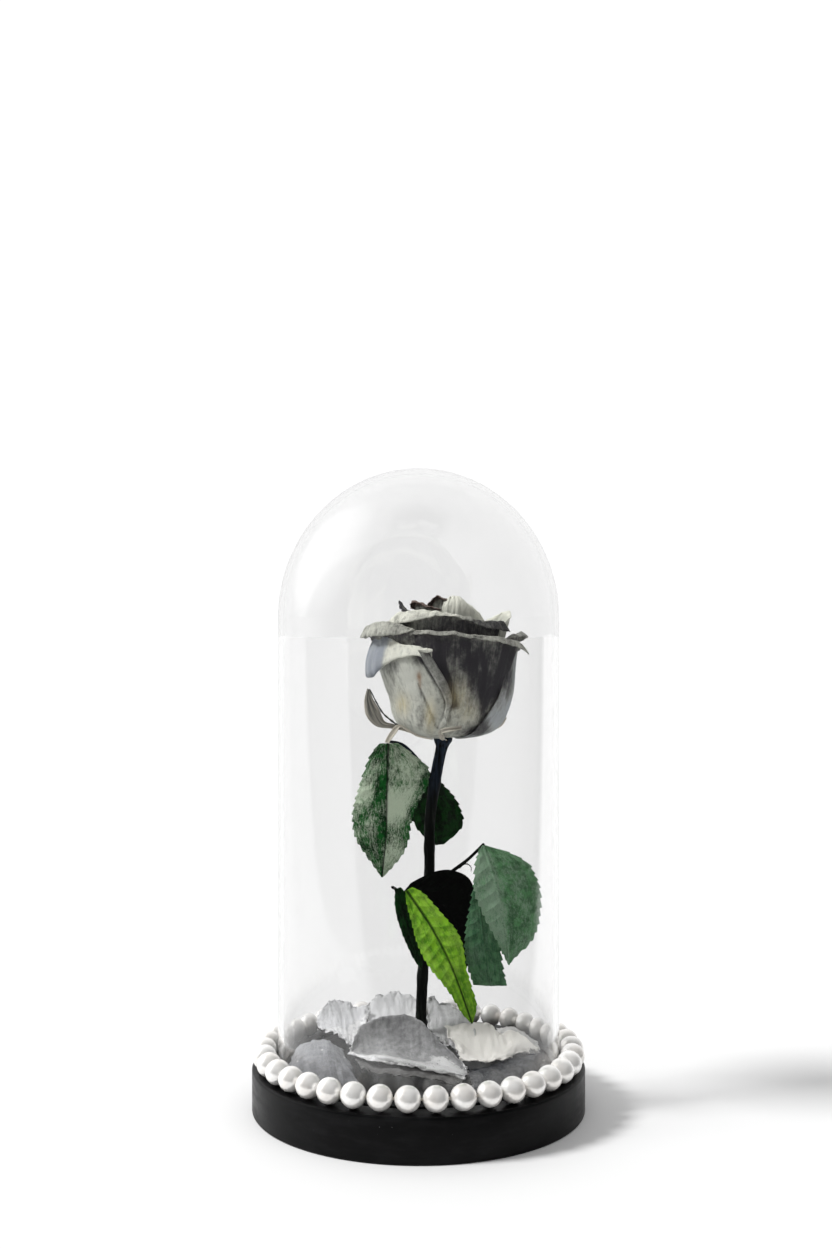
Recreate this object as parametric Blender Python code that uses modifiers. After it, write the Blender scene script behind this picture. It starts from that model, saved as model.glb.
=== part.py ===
"""A preserved rose standing on a round black base under a glass dome, with loose petals at its foot and a string of
pearls laid round the dome. Metres, +Z up. The origin is the centre of the base's underside, and -Y is the front."""

import math

import bmesh
import bpy
from mathutils import Matrix, Vector

MM = 0.001

# Driving dimensions of the base, the dome and the pearls
BASE_RADIUS = 67.5 * MM
BASE_THICKNESS = 17.5 * MM
BASE_EDGE = 0.8 * MM
ROUND_STEPS = 36

DOME_RADIUS = 57.2 * MM
DOME_HEIGHT = 241.8 * MM
DOME_CAP_HEIGHT = 61.0 * MM
GLASS_THICKNESS = 2.2 * MM
DOME_CAP_STEPS = 5

GROOVE_DEPTH = 2.0 * MM
GROOVE_CLEARANCE = 0.4 * MM

PEARL_RADIUS = 5.0 * MM
PEARL_COUNT = 38
PEARL_RING_RADIUS = 62.45 * MM
PEARL_LIFT = 0.15 * MM
FIRST_PEARL = -0.066
THREAD_RADIUS = 0.45 * MM

# Driving dimensions of the rose
PETAL_THICKNESS = 0.5 * MM
PETAL_COUNT = 22
PETAL_FOOT_WIDTH = 0.42
PETAL_RIM_NARROWING = 0.2
PETAL_CORNER_ROUNDING = 0.13
INNER_LAYER = 0.06
INNER_HALF_WIDTH = 96
OUTER_HALF_WIDTH = 52
GOLDEN_ANGLE = 137.5
OUTER_AZIMUTH = -50.0
HEAD_TILT = math.radians(5)
HEAD_FOOT = Vector((9.6, 0.0, 149.6)) * MM
LEAF_THICKNESS = 0.5 * MM
STALK_RADIUS = 0.65 * MM
STALK_STEPS = 6

# The stem's centre line in mm from the base up into the flower, and its radius at each point
STEM_PATH = [
    ((0.2, 0.0, 17.8), 2.5),
    ((0.5, 0.3, 28.0), 2.3),
    ((0.9, 0.6, 40.0), 2.25),
    ((1.6, 0.8, 54.0), 2.25),
    ((2.8, 0.9, 68.0), 2.2),
    ((3.9, 0.8, 80.0), 2.2),
    ((4.7, 0.6, 92.0), 2.3),
    ((5.0, 0.4, 104.0), 2.25),
    ((5.6, 0.2, 118.0), 2.25),
    ((6.6, 0.0, 130.0), 2.35),
    ((7.8, 0.0, 138.5), 2.6),
    ((8.8, 0.0, 143.6), 3.4),
    ((9.4, 0.0, 146.6), 4.2),
    ((9.6, 0.0, 148.6), 4.2),
    ((9.7, 0.0, 151.2), 2.2),
    ((9.8, 0.0, 153.4), 0.5),
]

# The flower's shells. Each row is one shell, from the heart (0) out to the outermost petal (1): its share, and the
# radius and height in mm that it has at seven places from the foot of a petal to its rim.
SHELLS = [
    (0.0, [(0.4, 5.4), (0.7, 14.0), (0.9, 23.0), (1.0, 32.0), (0.9, 41.0), (0.7, 49.0), (0.5, 57.0)]),
    (0.25, [(1.6, 4.2), (5.0, 9.6), (6.9, 17.8), (7.7, 27.2), (7.4, 37.4), (6.0, 47.0), (4.6, 56.0)]),
    (0.5, [(2.9, 2.6), (8.8, 6.6), (12.6, 13.6), (14.4, 23.0), (14.9, 33.6), (14.0, 44.0), (15.0, 53.0)]),
    (0.65, [(3.7, 1.6), (11.0, 4.8), (16.0, 11.0), (18.6, 20.0), (19.6, 30.4), (19.8, 40.6), (25.5, 48.6)]),
    (0.78, [(4.4, 0.9), (12.4, 3.4), (18.4, 9.2), (21.6, 17.8), (23.2, 27.8), (24.0, 37.4), (31.0, 43.8)]),
    (1.0, [(5.6, 0.0), (14.5, 1.4), (21.3, 6.4), (24.9, 14.6), (26.9, 24.2), (27.4, 33.4), (31.0, 39.0)]),
]

# Leaflets hang from their stalks by a blade that is given as: its midrib's points in mm from stalk to tip, its half
# width, the direction that runs across it, and how far its two sides bend away from the midrib.
LEAFLETS = {
    "leaflet_upper_left": (
        [(-12.8, -5.0, 147.0), (-12.9, -7.0, 129.0), (-12.7, -6.5, 110.0), (-14.9, -4.0, 93.0)],
        13.6, (1.0, 0.25, 0.05), (0.0, 3.0, 0.0),
    ),
    "leaflet_upper_right": (
        [(-1.2, 7.4, 140.2), (2.6, 9.4, 129.0), (6.6, 9.6, 117.0), (10.4, 8.0, 106.6)],
        11.2, (0.93, 0.2, 0.3), (0.0, 2.0, 0.0),
    ),
    "leaflet_middle": (
        [(6.6, -3.2, 101.6), (8.6, -10.6, 97.5), (11.0, -13.4, 80.0), (14.5, -12.0, 61.0)],
        15.5, (1.0, 0.0, 0.0), (0.0, 5.0, -7.0),
    ),
    "leaflet_lower_front": (
        [(-8.2, -15.2, 88.0), (5.0, -18.6, 72.0), (14.0, -19.0, 55.0), (21.5, -17.0, 32.4)],
        8.8, (0.86, 0.1, 0.5), (0.0, 2.5, 0.0),
    ),
    "leaflet_lower_left": (
        [(-9.0, -12.0, 87.2), (-7.0, -11.0, 77.0), (-4.4, -9.0, 67.0), (-1.2, -7.6, 57.6)],
        4.6, (0.7, 0.7, 0.1), (0.0, 1.2, 0.0),
    ),
    "leaflet_right_front": (
        [(26.0, -13.6, 105.6), (32.4, -18.6, 93.0), (34.4, -19.6, 75.0), (36.6, -18.0, 58.0)],
        14.6, (0.94, 0.3, 0.05), (0.0, 3.5, 0.0),
    ),
    "leaflet_right_back": (
        [(24.8, -12.6, 104.2), (26.6, -15.4, 88.0), (27.6, -15.8, 68.0), (33.0, -13.6, 48.6)],
        9.4, (0.96, -0.04, 0.1), (0.0, 1.4, 0.0),
    ),
}
LEAF_STALKS = {
    "leaf_stalk_upper": [(4.2, 2.7, 131.0), (-0.6, 5.2, 140.4), (-7.5, 1.6, 147.4), (-12.6, -4.4, 149.2)],
    "leaf_stalk_right": [(7.8, -1.0, 90.0), (14.6, -2.4, 95.2), (20.2, -6.6, 101.0), (25.0, -11.4, 106.4)],
    "leaf_stalk_left": [(0.9, -1.6, 79.0), (-4.6, -2.6, 82.4), (-9.6, -7.0, 86.4), (-10.2, -13.4, 89.6)],
}
SEPALS = {
    "sepal_left": (
        [(4.9, -2.0, 146.6), (-2.5, -3.4, 148.2), (-9.6, -4.8, 153.0), (-15.6, -5.8, 161.4), (-19.6, -6.2, 169.0)],
        1.5, (0.2, 0.95, 0.2),
    ),
    "sepal_hanging": (
        [(5.0, 2.4, 146.4), (-1.4, 2.6, 147.6), (-7.4, 1.2, 151.0), (-11.2, -0.4, 153.2), (-13.2, -1.6, 150.6)],
        1.3, (0.1, 0.95, 0.1),
    ),
    "sepal_front": (
        [(10.2, -5.2, 146.0), (12.4, -8.8, 147.2), (14.9, -12.2, 148.4), (17.6, -15.4, 150.4)],
        1.6, (0.8, 0.5, 0.0),
    ),
    "sepal_right": (
        [(14.6, -0.8, 145.8), (20.6, 0.2, 146.8), (27.0, 1.2, 149.4), (32.6, 1.4, 152.8), (36.4, 0.8, 157.4)],
        1.3, (0.0, 1.0, 0.0),
    ),
    "sepal_back": (
        [(9.4, 5.2, 146.2), (8.0, 10.6, 147.0), (6.6, 17.6, 149.4), (5.6, 24.4, 154.0)],
        1.5, (0.9, 0.1, 0.0),
    ),
}

# Petals lying at the stem's foot. Each row has the middle in mm with its height over the base, the azimuth that the
# rim faces, how far the rim dips, a roll, the length, the half width, how much it is cupped, and its ruffle.
FALLEN_PETALS = [
    ((-5.0, -19.0, 12.0), 6.0, 28.0, 4.0, 32.0, 23.0, 5.5, 0.6),
    ((-35.0, -12.0, 5.8), -68.0, 2.0, 0.0, 27.0, 13.5, 7.0, 0.3),
    ((-30.0, 15.0, 10.8), -16.0, 26.0, 0.0, 33.0, 15.0, 4.0, 2.0),
    ((-8.0, 26.0, 9.4), 4.0, 26.0, 4.0, 32.0, 16.0, 4.5, 1.2),
    ((17.0, 24.0, 9.6), 34.0, 20.0, -6.0, 30.0, 14.5, 5.0, 0.8),
    ((30.0, -1.0, 8.9), 42.0, 12.0, 0.0, 31.0, 15.0, 3.0, 1.6),
    ((32.0, -22.0, 3.2), 60.0, 0.0, 0.0, 26.0, 11.5, 3.6, 0.2),
    ((41.0, 12.0, 3.6), 96.0, 4.0, 0.0, 22.0, 11.0, 2.6, 0.8),
    ((2.0, -41.2, 2.2), 14.0, -2.0, 0.0, 18.0, 17.0, 2.2, 0.3),
]


def clear_scene():
    for old in list(bpy.data.objects):
        bpy.data.objects.remove(old)


def make_material(name, colour, roughness, metallic=0.0, transmission=0.0):
    material = bpy.data.materials.new(name)
    material.use_nodes = True
    shader = material.node_tree.nodes["Principled BSDF"]
    shader.inputs["Base Color"].default_value = (*colour, 1.0)
    shader.inputs["Roughness"].default_value = roughness
    shader.inputs["Metallic"].default_value = metallic
    shader.inputs["Transmission Weight"].default_value = transmission
    return material


def add_object(name, data, material, collection):
    """Puts a mesh or a curve in the collection as one named object with its own material."""
    data.materials.append(material)
    obj = bpy.data.objects.new(name, data)
    collection.objects.link(obj)
    return obj


def turned(name, profile, material, collection):
    """A profile of (radius, height) points, from its top down, turned once round Z."""
    mesh = bpy.data.meshes.new(name)
    points = [(radius, 0.0, height) for radius, height in profile]
    mesh.from_pydata(points, [(i, i + 1) for i in range(len(points) - 1)], [])
    obj = add_object(name, mesh, material, collection)
    screw = obj.modifiers.new("Turn", "SCREW")
    screw.steps = ROUND_STEPS
    screw.render_steps = ROUND_STEPS
    screw.use_merge_vertices = True
    screw.merge_threshold = 0.00005
    screw.use_smooth_shade = True
    return obj


def sheet(name, columns, rows, place, thickness, material, collection):
    """A grid whose points are put in place by place(u, v), with u from -1 to 1 across and v from 0 to 1 along, and
    then given a thickness: a petal or a leaf."""
    mesh = bpy.data.meshes.new(name)
    grid = bmesh.new()
    bmesh.ops.create_grid(grid, x_segments=columns, y_segments=rows, size=1.0)
    for vertex in grid.verts:
        vertex.co = place(vertex.co.x, (vertex.co.y + 1) / 2)
    grid.to_mesh(mesh)
    grid.free()
    mesh.shade_smooth()
    obj = add_object(name, mesh, material, collection)
    solid = obj.modifiers.new("Thickness", "SOLIDIFY")
    solid.thickness = thickness
    solid.offset = 0.0
    return obj


def rod(name, path, material, collection, bevel_resolution=2, cyclic=False):
    """A round rod along (point, radius) pairs."""
    curve = bpy.data.curves.new(name, "CURVE")
    curve.dimensions = "3D"
    curve.bevel_depth = 1.0
    curve.bevel_resolution = bevel_resolution
    curve.use_fill_caps = not cyclic
    spline = curve.splines.new("POLY")
    spline.points.add(len(path) - 1)
    spline.use_cyclic_u = cyclic
    for point, (place, radius) in zip(spline.points, path):
        point.co = (*place, 1.0)
        point.radius = radius
    return add_object(name, curve, material, collection)


def smooth_step(x):
    x = min(max(x, 0.0), 1.0)
    return x * x * (3 - 2 * x)


def along_curve(points, t):
    """The point at t, from 0 to 1 and a little past it, of a smooth curve through evenly spaced points."""
    last = len(points) - 1
    place = t * last
    i = min(max(int(place), 0), last - 1)
    f = place - i
    before = points[max(i - 1, 0)]
    after = points[min(i + 2, last)]
    found = []
    for a, b, c, d in zip(before, points[i], points[i + 1], after):
        curve = (2 * b + (c - a) * f + (2 * a - 5 * b + 4 * c - d) * f * f + (3 * b - a - 3 * c + d) * f**3) / 2
        found.append(curve if f <= 1 else c + (d - b + c - a) / 4 * (f - 1))
    return found


def shell_point(layer, t):
    """Radius and height in mm at t from the hip (0) to the rim (1) of the shell at this layer. Shells never cross."""
    low = max(i for i in range(len(SHELLS) - 1) if SHELLS[i][0] <= layer)
    share = (layer - SHELLS[low][0]) / (SHELLS[low + 1][0] - SHELLS[low][0])
    inside = along_curve(SHELLS[low][1], t)
    outside = along_curve(SHELLS[low + 1][1], t)
    return [a + (b - a) * share for a, b in zip(inside, outside)]


def wavy(x, y, z):
    """A slow, smooth shift in mm that makes the flower irregular. It is gentle enough that petals can't meet."""
    return Vector(
        (
            0.9 * math.sin(z / 9 + 1.3) + 0.6 * math.sin(y / 8 + 0.4),
            0.9 * math.sin(z / 10 + 4.1) + 0.6 * math.sin(x / 8 + 2.2),
            0.8 * math.sin(x / 9 + 0.7) + 0.8 * math.sin(y / 9 + 3.0),
        )
    )


def head_matrix():
    return Matrix.Translation(HEAD_FOOT) @ Matrix.Rotation(HEAD_TILT, 4, "Y")


def in_flower(radius, azimuth, height):
    """A place in the flower, given in mm round its own axis, in the row frame. Azimuth 0 faces the front."""
    flat = Vector((radius * math.sin(azimuth), -radius * math.cos(azimuth), height))
    ease = smooth_step((radius - 3) / 12)
    return head_matrix() @ ((flat + wavy(*flat) * ease) * MM)


def rose_petal(layer, azimuth, half_width, reach, lean, fold):
    """place(u, v) for one petal of the flower. lean turns its upper part sideways. fold(u) is how far its rim turns
    outwards and down, in mm."""

    def place(u, v):
        spread = PETAL_FOOT_WIDTH + (1 - PETAL_FOOT_WIDTH) * smooth_step(v / 0.5)
        spread -= PETAL_RIM_NARROWING * smooth_step((v - 0.65) / 0.35)
        t = v * reach * (1 - PETAL_CORNER_ROUNDING * abs(u) ** 3 * v)
        radius, height = shell_point(layer, t)
        out, down = fold(u)
        radius += out * smooth_step((v - 0.66) / 0.34)
        height -= down * smooth_step((v - 0.74) / 0.26)
        turn = math.radians(azimuth + half_width * spread * u + lean * v * v)
        return in_flower(radius, turn, height)

    return place


def flat_rim(u):
    return 0.0, 0.0


def corner_fold(u):
    """The outermost petal's left corner is folded outwards and hangs down."""
    share = smooth_step((-u - 0.05) / 0.7)
    return 4.5 * share, 16.0 * share


def blade(spine, half_width, across, bend, widest=0.42, end_width=0.08):
    """place(u, v) for a leaf's pointed blade along its spine."""
    across = Vector(across).normalized()
    bend = Vector(bend)

    def place(u, v):
        rise = min(v / widest, (1 - v) / (1 - widest))
        width = end_width + (1 - end_width) * math.sin(math.pi / 2 * rise) ** 0.9
        middle = Vector(along_curve(spine, v))
        return (middle + across * half_width * width * u + bend * (u * width) ** 2) * MM

    return place


def fallen_petal(middle, azimuth, dip, roll, length, half_width, cup, ruffle):
    """place(u, v) for a cupped petal that lies on the base, hollow side down."""
    turn = Matrix.Rotation(math.pi + math.radians(azimuth), 3, "Z")
    turn = turn @ Matrix.Rotation(math.radians(-dip), 3, "X") @ Matrix.Rotation(math.radians(roll), 3, "Y")
    middle = Vector(middle) + Vector((0.0, 0.0, BASE_THICKNESS / MM))

    def place(u, v):
        width = 0.4 + 0.6 * smooth_step(v / 0.55) - 0.22 * smooth_step((v - 0.7) / 0.3)
        along = (v - 0.5) * length * (1 - 0.16 * u * u * smooth_step((v - 0.4) / 0.6))
        dome = cup * (0.6 - 0.9 * (u * width) ** 2 - 0.7 * (2 * v - 1) ** 2)
        wave = ruffle * math.sin(4.2 * u + azimuth) * v
        return (middle + turn @ Vector((half_width * width * u, along, dome + wave))) * MM

    return place


def build_base(collection, material):
    top = BASE_THICKNESS
    outer = DOME_RADIUS + GROOVE_CLEARANCE
    inner = DOME_RADIUS - GLASS_THICKNESS - GROOVE_CLEARANCE
    floor = top - GROOVE_DEPTH
    profile = [
        (0.0, top),
        (inner, top),
        (inner, floor),
        (outer, floor),
        (outer, top),
        (BASE_RADIUS - BASE_EDGE, top),
        (BASE_RADIUS, top - BASE_EDGE),
        (BASE_RADIUS, BASE_EDGE),
        (BASE_RADIUS - BASE_EDGE, 0.0),
        (0.0, 0.0),
    ]
    turned("base", profile, material, collection)


def build_dome(collection, material):
    foot = BASE_THICKNESS - GROOVE_DEPTH + 0.3 * MM
    spring = BASE_THICKNESS + DOME_HEIGHT - DOME_CAP_HEIGHT
    profile = []
    for i in range(DOME_CAP_STEPS + 1):
        angle = math.pi / 2 * (1 - i / DOME_CAP_STEPS)
        profile.append((DOME_RADIUS * math.cos(angle), spring + DOME_CAP_HEIGHT * math.sin(angle)))
    profile[0] = (0.0, profile[0][1])
    profile.append((DOME_RADIUS, foot))
    dome = turned("glass_dome", profile, material, collection)
    wall = dome.modifiers.new("Wall", "SOLIDIFY")
    wall.thickness = GLASS_THICKNESS
    wall.offset = -1.0


def build_pearls(collection, material):
    """One closed string: a thread that swells to a ball at each pearl, laid in a ring round the dome's foot."""
    height = BASE_THICKNESS + PEARL_RADIUS + PEARL_LIFT
    pitch = 2 * math.pi / PEARL_COUNT
    end = math.asin(THREAD_RADIUS / PEARL_RADIUS)
    path = []
    for i in range(PEARL_COUNT):
        for latitude in (end, math.pi / 4, math.pi / 2, 3 * math.pi / 4, math.pi - end):
            step = -PEARL_RADIUS * math.cos(latitude) / PEARL_RING_RADIUS
            angle = FIRST_PEARL + i * pitch + step
            place = (PEARL_RING_RADIUS * math.sin(angle), -PEARL_RING_RADIUS * math.cos(angle), height)
            path.append((place, PEARL_RADIUS * math.sin(latitude)))
    rod("pearl_string", path, material, collection, cyclic=True)


def build_stem(collection, material):
    """The stem with the rose hip at its top, and the stalks that its leaves hang from."""
    path = [(Vector(place) * MM, radius * MM) for place, radius in STEM_PATH]
    rod("stem", path, material, collection)
    for name, points in LEAF_STALKS.items():
        path = []
        for i in range(STALK_STEPS + 1):
            place = Vector(along_curve(points, i / STALK_STEPS)) * MM
            path.append((place, STALK_RADIUS * (1.2 - 0.3 * i / STALK_STEPS)))
        rod(name, path, material, collection, bevel_resolution=1)


def build_leaves(collection, leaf_material, sepal_material):
    for name, (spine, half_width, across, bend) in LEAFLETS.items():
        place = blade(spine, half_width, across, bend)
        sheet(name, 4, 5, place, LEAF_THICKNESS, leaf_material, collection)
    for name, (spine, half_width, across) in SEPALS.items():
        place = blade(spine, half_width, across, (0.0, 0.0, 0.0), widest=0.3, end_width=0.3)
        sheet(name, 2, 5, place, LEAF_THICKNESS, sepal_material, collection)


def build_flower(collection, material):
    """Petals from the heart out, each on a shell of its own, set round the axis by the golden angle."""
    last = PETAL_COUNT - 1
    folds = {last: corner_fold}
    leans = {last: -15.0, last - 1: 6.0, last - 3: 8.0}
    for i in range(PETAL_COUNT):
        share = i / last
        layer = INNER_LAYER + (1 - INNER_LAYER) * share
        azimuth = OUTER_AZIMUTH + (last - i) * GOLDEN_ANGLE
        half_width = INNER_HALF_WIDTH + (OUTER_HALF_WIDTH - INNER_HALF_WIDTH) * smooth_step(share / 0.6)
        reach = 0.97 + 0.03 * math.sin(2.4 * i)
        place = rose_petal(layer, azimuth, half_width, reach, leans.get(i, 0.0), folds.get(i, flat_rim))
        cells = 4 if share < 0.3 else 5
        rows = 7 if i in folds else cells
        sheet(f"rose_petal_{i + 1:02d}", cells, rows, place, PETAL_THICKNESS, material, collection)


def build_fallen_petals(collection, material):
    for i, row in enumerate(FALLEN_PETALS):
        place = fallen_petal(*row)
        sheet(f"fallen_petal_{i + 1}", 5, 4, place, PETAL_THICKNESS, material, collection)


def main():
    clear_scene()
    collection = bpy.data.collections.new("preserved_rose_in_glass_dome")
    bpy.context.scene.collection.children.link(collection)
    black = make_material("black_lacquered_wood", (0.012, 0.012, 0.013), 0.45)
    glass = make_material("clear_glass", (1.0, 1.0, 1.0), 0.0, transmission=1.0)
    pearl = make_material("pearl", (0.86, 0.83, 0.8), 0.2)
    bark = make_material("dark_stem", (0.02, 0.03, 0.025), 0.5)
    leaf = make_material("dried_green_leaf", (0.05, 0.12, 0.04), 0.6)
    sepal = make_material("dried_cream_sepal", (0.5, 0.45, 0.34), 0.6)
    silver = make_material("silver_painted_petal", (0.36, 0.36, 0.37), 0.45, 0.3)
    build_base(collection, black)
    build_dome(collection, glass)
    build_pearls(collection, pearl)
    build_stem(collection, bark)
    build_leaves(collection, leaf, sepal)
    build_flower(collection, silver)
    build_fallen_petals(collection, silver)


main()
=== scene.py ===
"""The looks of a preserved rose under a glass dome: a silver-painted dried rose with its leaves, loose petals
at its foot, a turned black base and a string of pearls. Metres, +Z up, -Y is the front; tables are in mm."""

import math

import bpy
import numpy as np
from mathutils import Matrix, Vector, noise


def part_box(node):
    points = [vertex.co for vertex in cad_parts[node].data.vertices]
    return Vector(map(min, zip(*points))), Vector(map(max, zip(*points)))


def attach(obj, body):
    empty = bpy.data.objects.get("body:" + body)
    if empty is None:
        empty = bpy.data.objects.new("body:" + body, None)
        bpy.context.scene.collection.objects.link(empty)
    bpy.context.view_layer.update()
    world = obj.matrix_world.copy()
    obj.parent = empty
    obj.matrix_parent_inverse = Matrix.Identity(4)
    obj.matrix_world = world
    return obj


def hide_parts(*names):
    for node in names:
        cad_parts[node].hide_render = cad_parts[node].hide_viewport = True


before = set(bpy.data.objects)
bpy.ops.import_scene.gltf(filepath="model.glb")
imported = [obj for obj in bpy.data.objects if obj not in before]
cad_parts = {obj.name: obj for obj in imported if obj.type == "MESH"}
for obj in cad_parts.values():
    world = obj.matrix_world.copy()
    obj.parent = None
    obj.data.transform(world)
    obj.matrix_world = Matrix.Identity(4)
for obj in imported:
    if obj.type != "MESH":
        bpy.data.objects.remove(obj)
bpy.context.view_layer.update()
MM = 0.001


# The studio
# A white sheet that runs out to a white background, daylight from a wide window on the left, and a level
# camera in front of the dome. What mirrors the room shows it dark in front, as black screens would.
CAMERA_PLACE = (-0.00105, -0.591, 0.196)
CAMERA_LENS = 41.8
SENSOR_WIDTH = 36.0
# The azimuth (0 is the front), elevation and size of each light in degrees, and its strength
LIGHTS = {"window_light": (-79, 47, 13, 2.85), "room_light": (24, 36, 90, 1.02)}
FLOOR_COLOUR = (0.775, 0.775, 0.775, 1.0)
TABLE_DARK = (0.02, 0.02, 0.02, 1.0)
FLOOR_SIZE = 40.0
# Where the sheet fades into the dark table, as places along Y: for what lights the object, and for what is
# mirrored, where the edge also slants
SHEET_EDGE = (-0.6, -0.22)
MIRRORED_EDGE = (-0.175, -0.105)
MIRRORED_SLANT = -0.6
BACKGROUND_WHITE = 1.04
SEEN_WHITE = 1.08
ROOM_DARK = 0.02
LEFT_BRIGHTER = 0.3
CEILING_BRIGHT = 0.2
WINDOW_DIRECTION = (-0.85, 0.12, 0.51)
WINDOW_STRENGTH = 0.4
WINDOW_MIRRORED_GAIN = 1.8
# How far each of them reaches, as the cosine of a direction
BACKGROUND_FADE = (-0.6, 0.86)
CEILING_FADE = (0.25, 0.9)
WINDOW_FADE = (0.78, 0.99)


def new_object(name, data):
    thing = bpy.data.objects.new(name, data)
    bpy.context.scene.collection.objects.link(thing)
    return thing


def new_mesh(name, vertices, faces):
    mesh = bpy.data.meshes.new(name)
    mesh.from_pydata(vertices, [], faces)
    return mesh


def start_material(name, **values):
    """A material whose shader has these constant inputs, with its node tree and its shader."""
    material = bpy.data.materials.new(name)
    material.use_nodes = True
    shader = material.node_tree.nodes["Principled BSDF"]
    for key, value in values.items():
        shader.inputs[key.replace("_", " ")].default_value = value
    return material, material.node_tree, shader


def add_node(tree, kind, inputs=None, **settings):
    """Adds a node. Its inputs are given by name or place, each as a value or as the socket that feeds it."""
    node = tree.nodes.new(kind)
    for key, value in settings.items():
        setattr(node, key, value)
    for key, value in (inputs or {}).items():
        if isinstance(value, bpy.types.NodeSocket):
            tree.links.new(value, node.inputs[key])
        else:
            node.inputs[key].default_value = value
    return node


def feed(shader, **sockets):
    for key, socket in sockets.items():
        shader.id_data.links.new(socket, shader.inputs[key.replace("_", " ")])


def calculate(operation, first, second=0.0, clamp=False):
    """The socket of a Math node in the tree that the first socket is in."""
    inputs = {0: first, 1: second}
    return add_node(first.id_data, "ShaderNodeMath", inputs, operation=operation, use_clamp=clamp).outputs[0]


def total(first, *others):
    for other in others:
        first = calculate("ADD", first, other)
    return first


def product(first, second):
    return calculate("MULTIPLY", first, second)


def remap(value, low, high, new_low=0.0, new_high=1.0):
    """A smooth step from new_low to new_high while value goes from low to high."""
    inputs = {0: value, 1: low, 2: high, 3: new_low, 4: new_high}
    return add_node(value.id_data, "ShaderNodeMapRange", inputs, interpolation_type="SMOOTHSTEP").outputs[0]


def blend(factor, first, second):
    return add_node(factor.id_data, "ShaderNodeMix", {0: factor, 2: first, 3: second}).outputs[0]


def paint(share, under, over):
    """The colour under with the colour over it, where share is how much of it covers."""
    inputs = {0: share, 6: under, 7: over}
    return add_node(share.id_data, "ShaderNodeMix", inputs, data_type="RGBA").outputs[2]


def light_paths(tree):
    """Two masks: for what is seen straight or through clear glass, and for what is mirrored in something."""
    path = add_node(tree, "ShaderNodeLightPath").outputs
    bounces = total(path["Glossy Depth"], path["Diffuse Depth"])
    through = product(path["Is Transmission Ray"], calculate("LESS_THAN", bounces, 0.5))
    mirrored = calculate("GREATER_THAN", path["Glossy Depth"], 0.5)
    return calculate("MAXIMUM", path["Is Camera Ray"], through), mirrored


camera_data = bpy.data.cameras.new("camera")
camera_data.sensor_width = SENSOR_WIDTH
camera_data.lens = CAMERA_LENS
camera = new_object("camera", camera_data)
camera.location = CAMERA_PLACE
camera.rotation_euler = (math.pi / 2, 0.0, 0.0)
bpy.context.scene.camera = camera
bpy.context.scene.view_settings.view_transform = "Standard"

half = FLOOR_SIZE / 2
corners = [(-half, -half, 0), (half, -half, 0), (half, half, 0), (-half, half, 0)]
floor = new_object("floor", new_mesh("floor", corners, [(0, 1, 2, 3)]))
floor_paper, tree, shader = start_material("floor_paper", Roughness=1.0, Specular_IOR_Level=0.0)
place = add_node(tree, "ShaderNodeTexCoord").outputs["Object"]
place = add_node(tree, "ShaderNodeSeparateXYZ", {0: place}).outputs
seen, mirrored = light_paths(tree)
slanted = total(place["Y"], product(place["X"], MIRRORED_SLANT))
bounced = blend(mirrored, remap(place["Y"], *SHEET_EDGE), remap(slanted, *MIRRORED_EDGE))
feed(shader, Base_Color=paint(calculate("MAXIMUM", seen, bounced), TABLE_DARK, FLOOR_COLOUR))
floor.data.materials.append(floor_paper)

for name, (azimuth, elevation, size, strength) in LIGHTS.items():
    azimuth, elevation = math.radians(azimuth), math.radians(elevation)
    data = bpy.data.lights.new(name, "SUN")
    data.energy = strength
    data.angle = math.radians(size)
    light = new_object(name, data)
    level = math.cos(elevation)
    towards = Vector((math.sin(azimuth) * level, -math.cos(azimuth) * level, math.sin(elevation)))
    light.rotation_euler = towards.to_track_quat("Z", "Y").to_euler()
    light.visible_glossy = False
    light.visible_transmission = False

world = bpy.data.worlds.new("studio")
bpy.context.scene.world = world
world.use_nodes = True
tree = world.node_tree
tree.nodes.clear()
direction = add_node(tree, "ShaderNodeTexCoord").outputs["Generated"]
axes = add_node(tree, "ShaderNodeSeparateXYZ", {0: direction}).outputs
towards_back = calculate("SUBTRACT", axes["Y"], product(axes["X"], LEFT_BRIGHTER))
behind = remap(towards_back, *BACKGROUND_FADE, ROOM_DARK, BACKGROUND_WHITE)
overhead = remap(axes["Z"], *CEILING_FADE, 0.0, CEILING_BRIGHT)
facing = add_node(tree, "ShaderNodeVectorMath", {0: direction, 1: WINDOW_DIRECTION}, operation="DOT_PRODUCT")
window = remap(facing.outputs["Value"], *WINDOW_FADE, 0.0, WINDOW_STRENGTH)
seen, mirrored = light_paths(tree)
window = product(window, total(product(mirrored, WINDOW_MIRRORED_GAIN), 1.0))
room = total(calculate("MAXIMUM", behind, overhead), window)
shown = blend(seen, room, SEEN_WHITE)
background = add_node(tree, "ShaderNodeBackground", {0: (1, 1, 1, 1), 1: shown})
add_node(tree, "ShaderNodeOutputWorld", {"Surface": background.outputs[0]})


# The base
# One disc of wood, turned on a lathe and painted satin black. Its edges are softened, and a shallow groove in
# its top holds the dome's foot.
base_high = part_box("base")[1]
dome_low, dome_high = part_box("glass_dome")
BASE_RADIUS = base_high.x / MM
BASE_TOP = base_high.z / MM
BASE_EDGE = 0.9
DOME_RADIUS = dome_high.x / MM
GLASS_THICKNESS = 2.2
GROOVE_DEPTH = 2.0
GROOVE_CLEARANCE = 0.4
GROOVE_EDGE = 0.25
BASE_STEPS = 256
BASE_BLACK = (0.0018, 0.0018, 0.002, 1.0)
BASE_WORN = (0.0075, 0.0075, 0.008, 1.0)
DUST = (0.12, 0.12, 0.12, 1.0)
SPECKS_A_METRE = 260


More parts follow.
